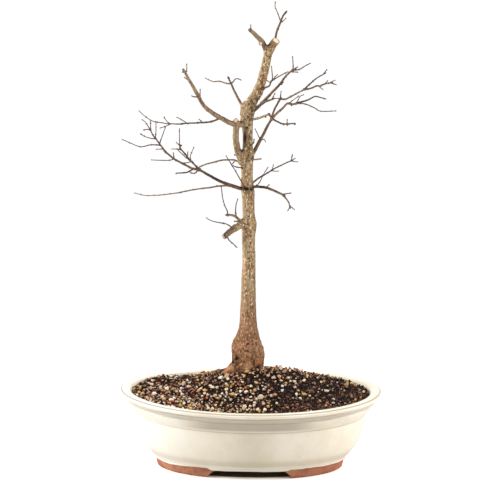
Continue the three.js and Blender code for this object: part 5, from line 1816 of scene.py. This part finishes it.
class TreeSettings(bpy.types.PropertyGroup):
    """Bark colours and the size of what is fine on the tree"""

    bark: colour_setting("Bark", "Tan bark of the trunk", 196, 170, 132)
    bark_brown: colour_setting("Brown bark", "Browner bark patches", 152, 120, 82)
    foot: colour_setting("Foot", "Red-brown bark at the foot", 152, 110, 77)
    foot_pink: colour_setting("Pink foot", "Smoother, pinker bark patches", 170, 122, 94)
    foot_orange: colour_setting("Orange foot", "Fresh bark at the foot", 190, 106, 58)
    twig: colour_setting("Twig", "Dark bark of young shoots", 86, 70, 66)
    bud_length: length_setting("Bud length", "Length of a winter bud", 2 * MM)
    voxel: length_setting("Grain", "Fineness at which thick limbs flow together", 1.12 * MM)
    seed: IntProperty(name="Seed", description="Draw of buds and nodes", default=23, min=0)


class StudioSettings(bpy.types.PropertyGroup):
    """Floor and light round the object"""

    floor_size: length_setting("Floor", "Side of the square floor", 60.0)
    fill: FloatProperty(name="Fill light", description="Strength of the light from behind",
                        default=0.85, min=0)
    front: FloatProperty(name="Front light", description="Strength of the light from in front",
                         default=0.26, min=0)
    side_power: FloatProperty(name="Side lights", description="Power of each large side light",
                              default=45.0, min=0, unit="POWER")


class BONSAI_OT_stage(bpy.types.Operator):
    """Sets up the pale floor, the soft lights and the camera"""

    bl_idname = "bonsai.stage"
    bl_label = "Studio"

    def execute(self, context):
        settings = context.scene.bonsai_studio
        make_floor(settings)
        make_world(settings)
        for side, name, share in ((-1, "left_softbox", 1.1), (1, "right_softbox", 0.88)):
            place_softbox(name, side, settings.side_power * share)
        place_camera()
        return {"FINISHED"}


class BONSAI_OT_pot(bpy.types.Operator):
    """Makes the oval glazed pot with its two feet"""

    bl_idname = "bonsai.pot"
    bl_label = "Pot"

    def execute(self, context):
        hand_over(make_pot(context.scene.bonsai_pot), "glaze", "pot")
        return {"FINISHED"}


class BONSAI_OT_soil(bpy.types.Operator):
    """Makes the body of soil, mounded up to the trunk"""

    bl_idname = "bonsai.soil"
    bl_label = "Soil"

    def execute(self, context):
        hand_over(make_soil_bed(context.scene.bonsai_soil), "soil", "soil")
        return {"FINISHED"}


class BONSAI_OT_grains(bpy.types.Operator):
    """Strews the soil with pumice, lava, loam crumbs and fines"""

    bl_idname = "bonsai.grains"
    bl_label = "Grains"

    def execute(self, context):
        seed = context.scene.bonsai_soil.seed
        for number, (name, kind) in enumerate(GRAINS.items()):
            hand_over(scatter_grains(name, kind, seed + number), "soil", "soil")
        return {"FINISHED"}


class BONSAI_OT_tree(bpy.types.Operator):
    """Grows the maple: trunk, limbs, twigs, winter buds and healed cuts"""

    bl_idname = "bonsai.tree"
    bl_label = "Tree"

    def execute(self, context):
        hand_over(make_tree(context.scene.bonsai_tree), "bark", "tree")
        return {"FINISHED"}


class BONSAI_OT_screens(bpy.types.Operator):
    """Gives the two drainage screens their plastic"""

    bl_idname = "bonsai.screens"
    bl_label = "Drainage screens"

    def execute(self, context):
        material = plastic_material()
        for name in ("drainage_screen_left", "drainage_screen_right"):
            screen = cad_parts[name]
            for slot in screen.material_slots:
                slot.material = material
        return {"FINISHED"}


OPERATORS = (BONSAI_OT_stage, BONSAI_OT_pot, BONSAI_OT_soil, BONSAI_OT_grains, BONSAI_OT_tree,
             BONSAI_OT_screens)
SETTINGS = (("bonsai_studio", StudioSettings), ("bonsai_pot", PotSettings),
            ("bonsai_soil", SoilSettings), ("bonsai_tree", TreeSettings))


class BONSAI_PT_panel(bpy.types.Panel):
    """Lists the bonsai's pieces and what can be changed on them"""

    bl_label = "Trident maple bonsai"
    bl_space_type = "VIEW_3D"
    bl_region_type = "UI"
    bl_category = "Bonsai"

    def draw(self, context):
        for name, _ in SETTINGS:
            settings = getattr(context.scene, name)
            box = self.layout.box()
            for label in settings.bl_rna.properties.keys():
                if label not in {"rna_type", "name"}:
                    box.prop(settings, label)
        for operator in OPERATORS:
            self.layout.operator(operator.bl_idname)


def register():
    for name, settings in SETTINGS:
        bpy.utils.register_class(settings)
        setattr(bpy.types.Scene, name, PointerProperty(type=settings))
    for piece in (*OPERATORS, BONSAI_PT_panel):
        bpy.utils.register_class(piece)


def unregister():
    for piece in reversed((*OPERATORS, BONSAI_PT_panel)):
        bpy.utils.unregister_class(piece)
    for name, settings in reversed(SETTINGS):
        delattr(bpy.types.Scene, name)
        bpy.utils.unregister_class(settings)


def main():
    register()
    bpy.ops.bonsai.stage()
    bpy.ops.bonsai.pot()
    bpy.ops.bonsai.soil()
    bpy.ops.bonsai.grains()
    bpy.ops.bonsai.tree()
    bpy.ops.bonsai.screens()


if __name__ == "__main__":
    main()
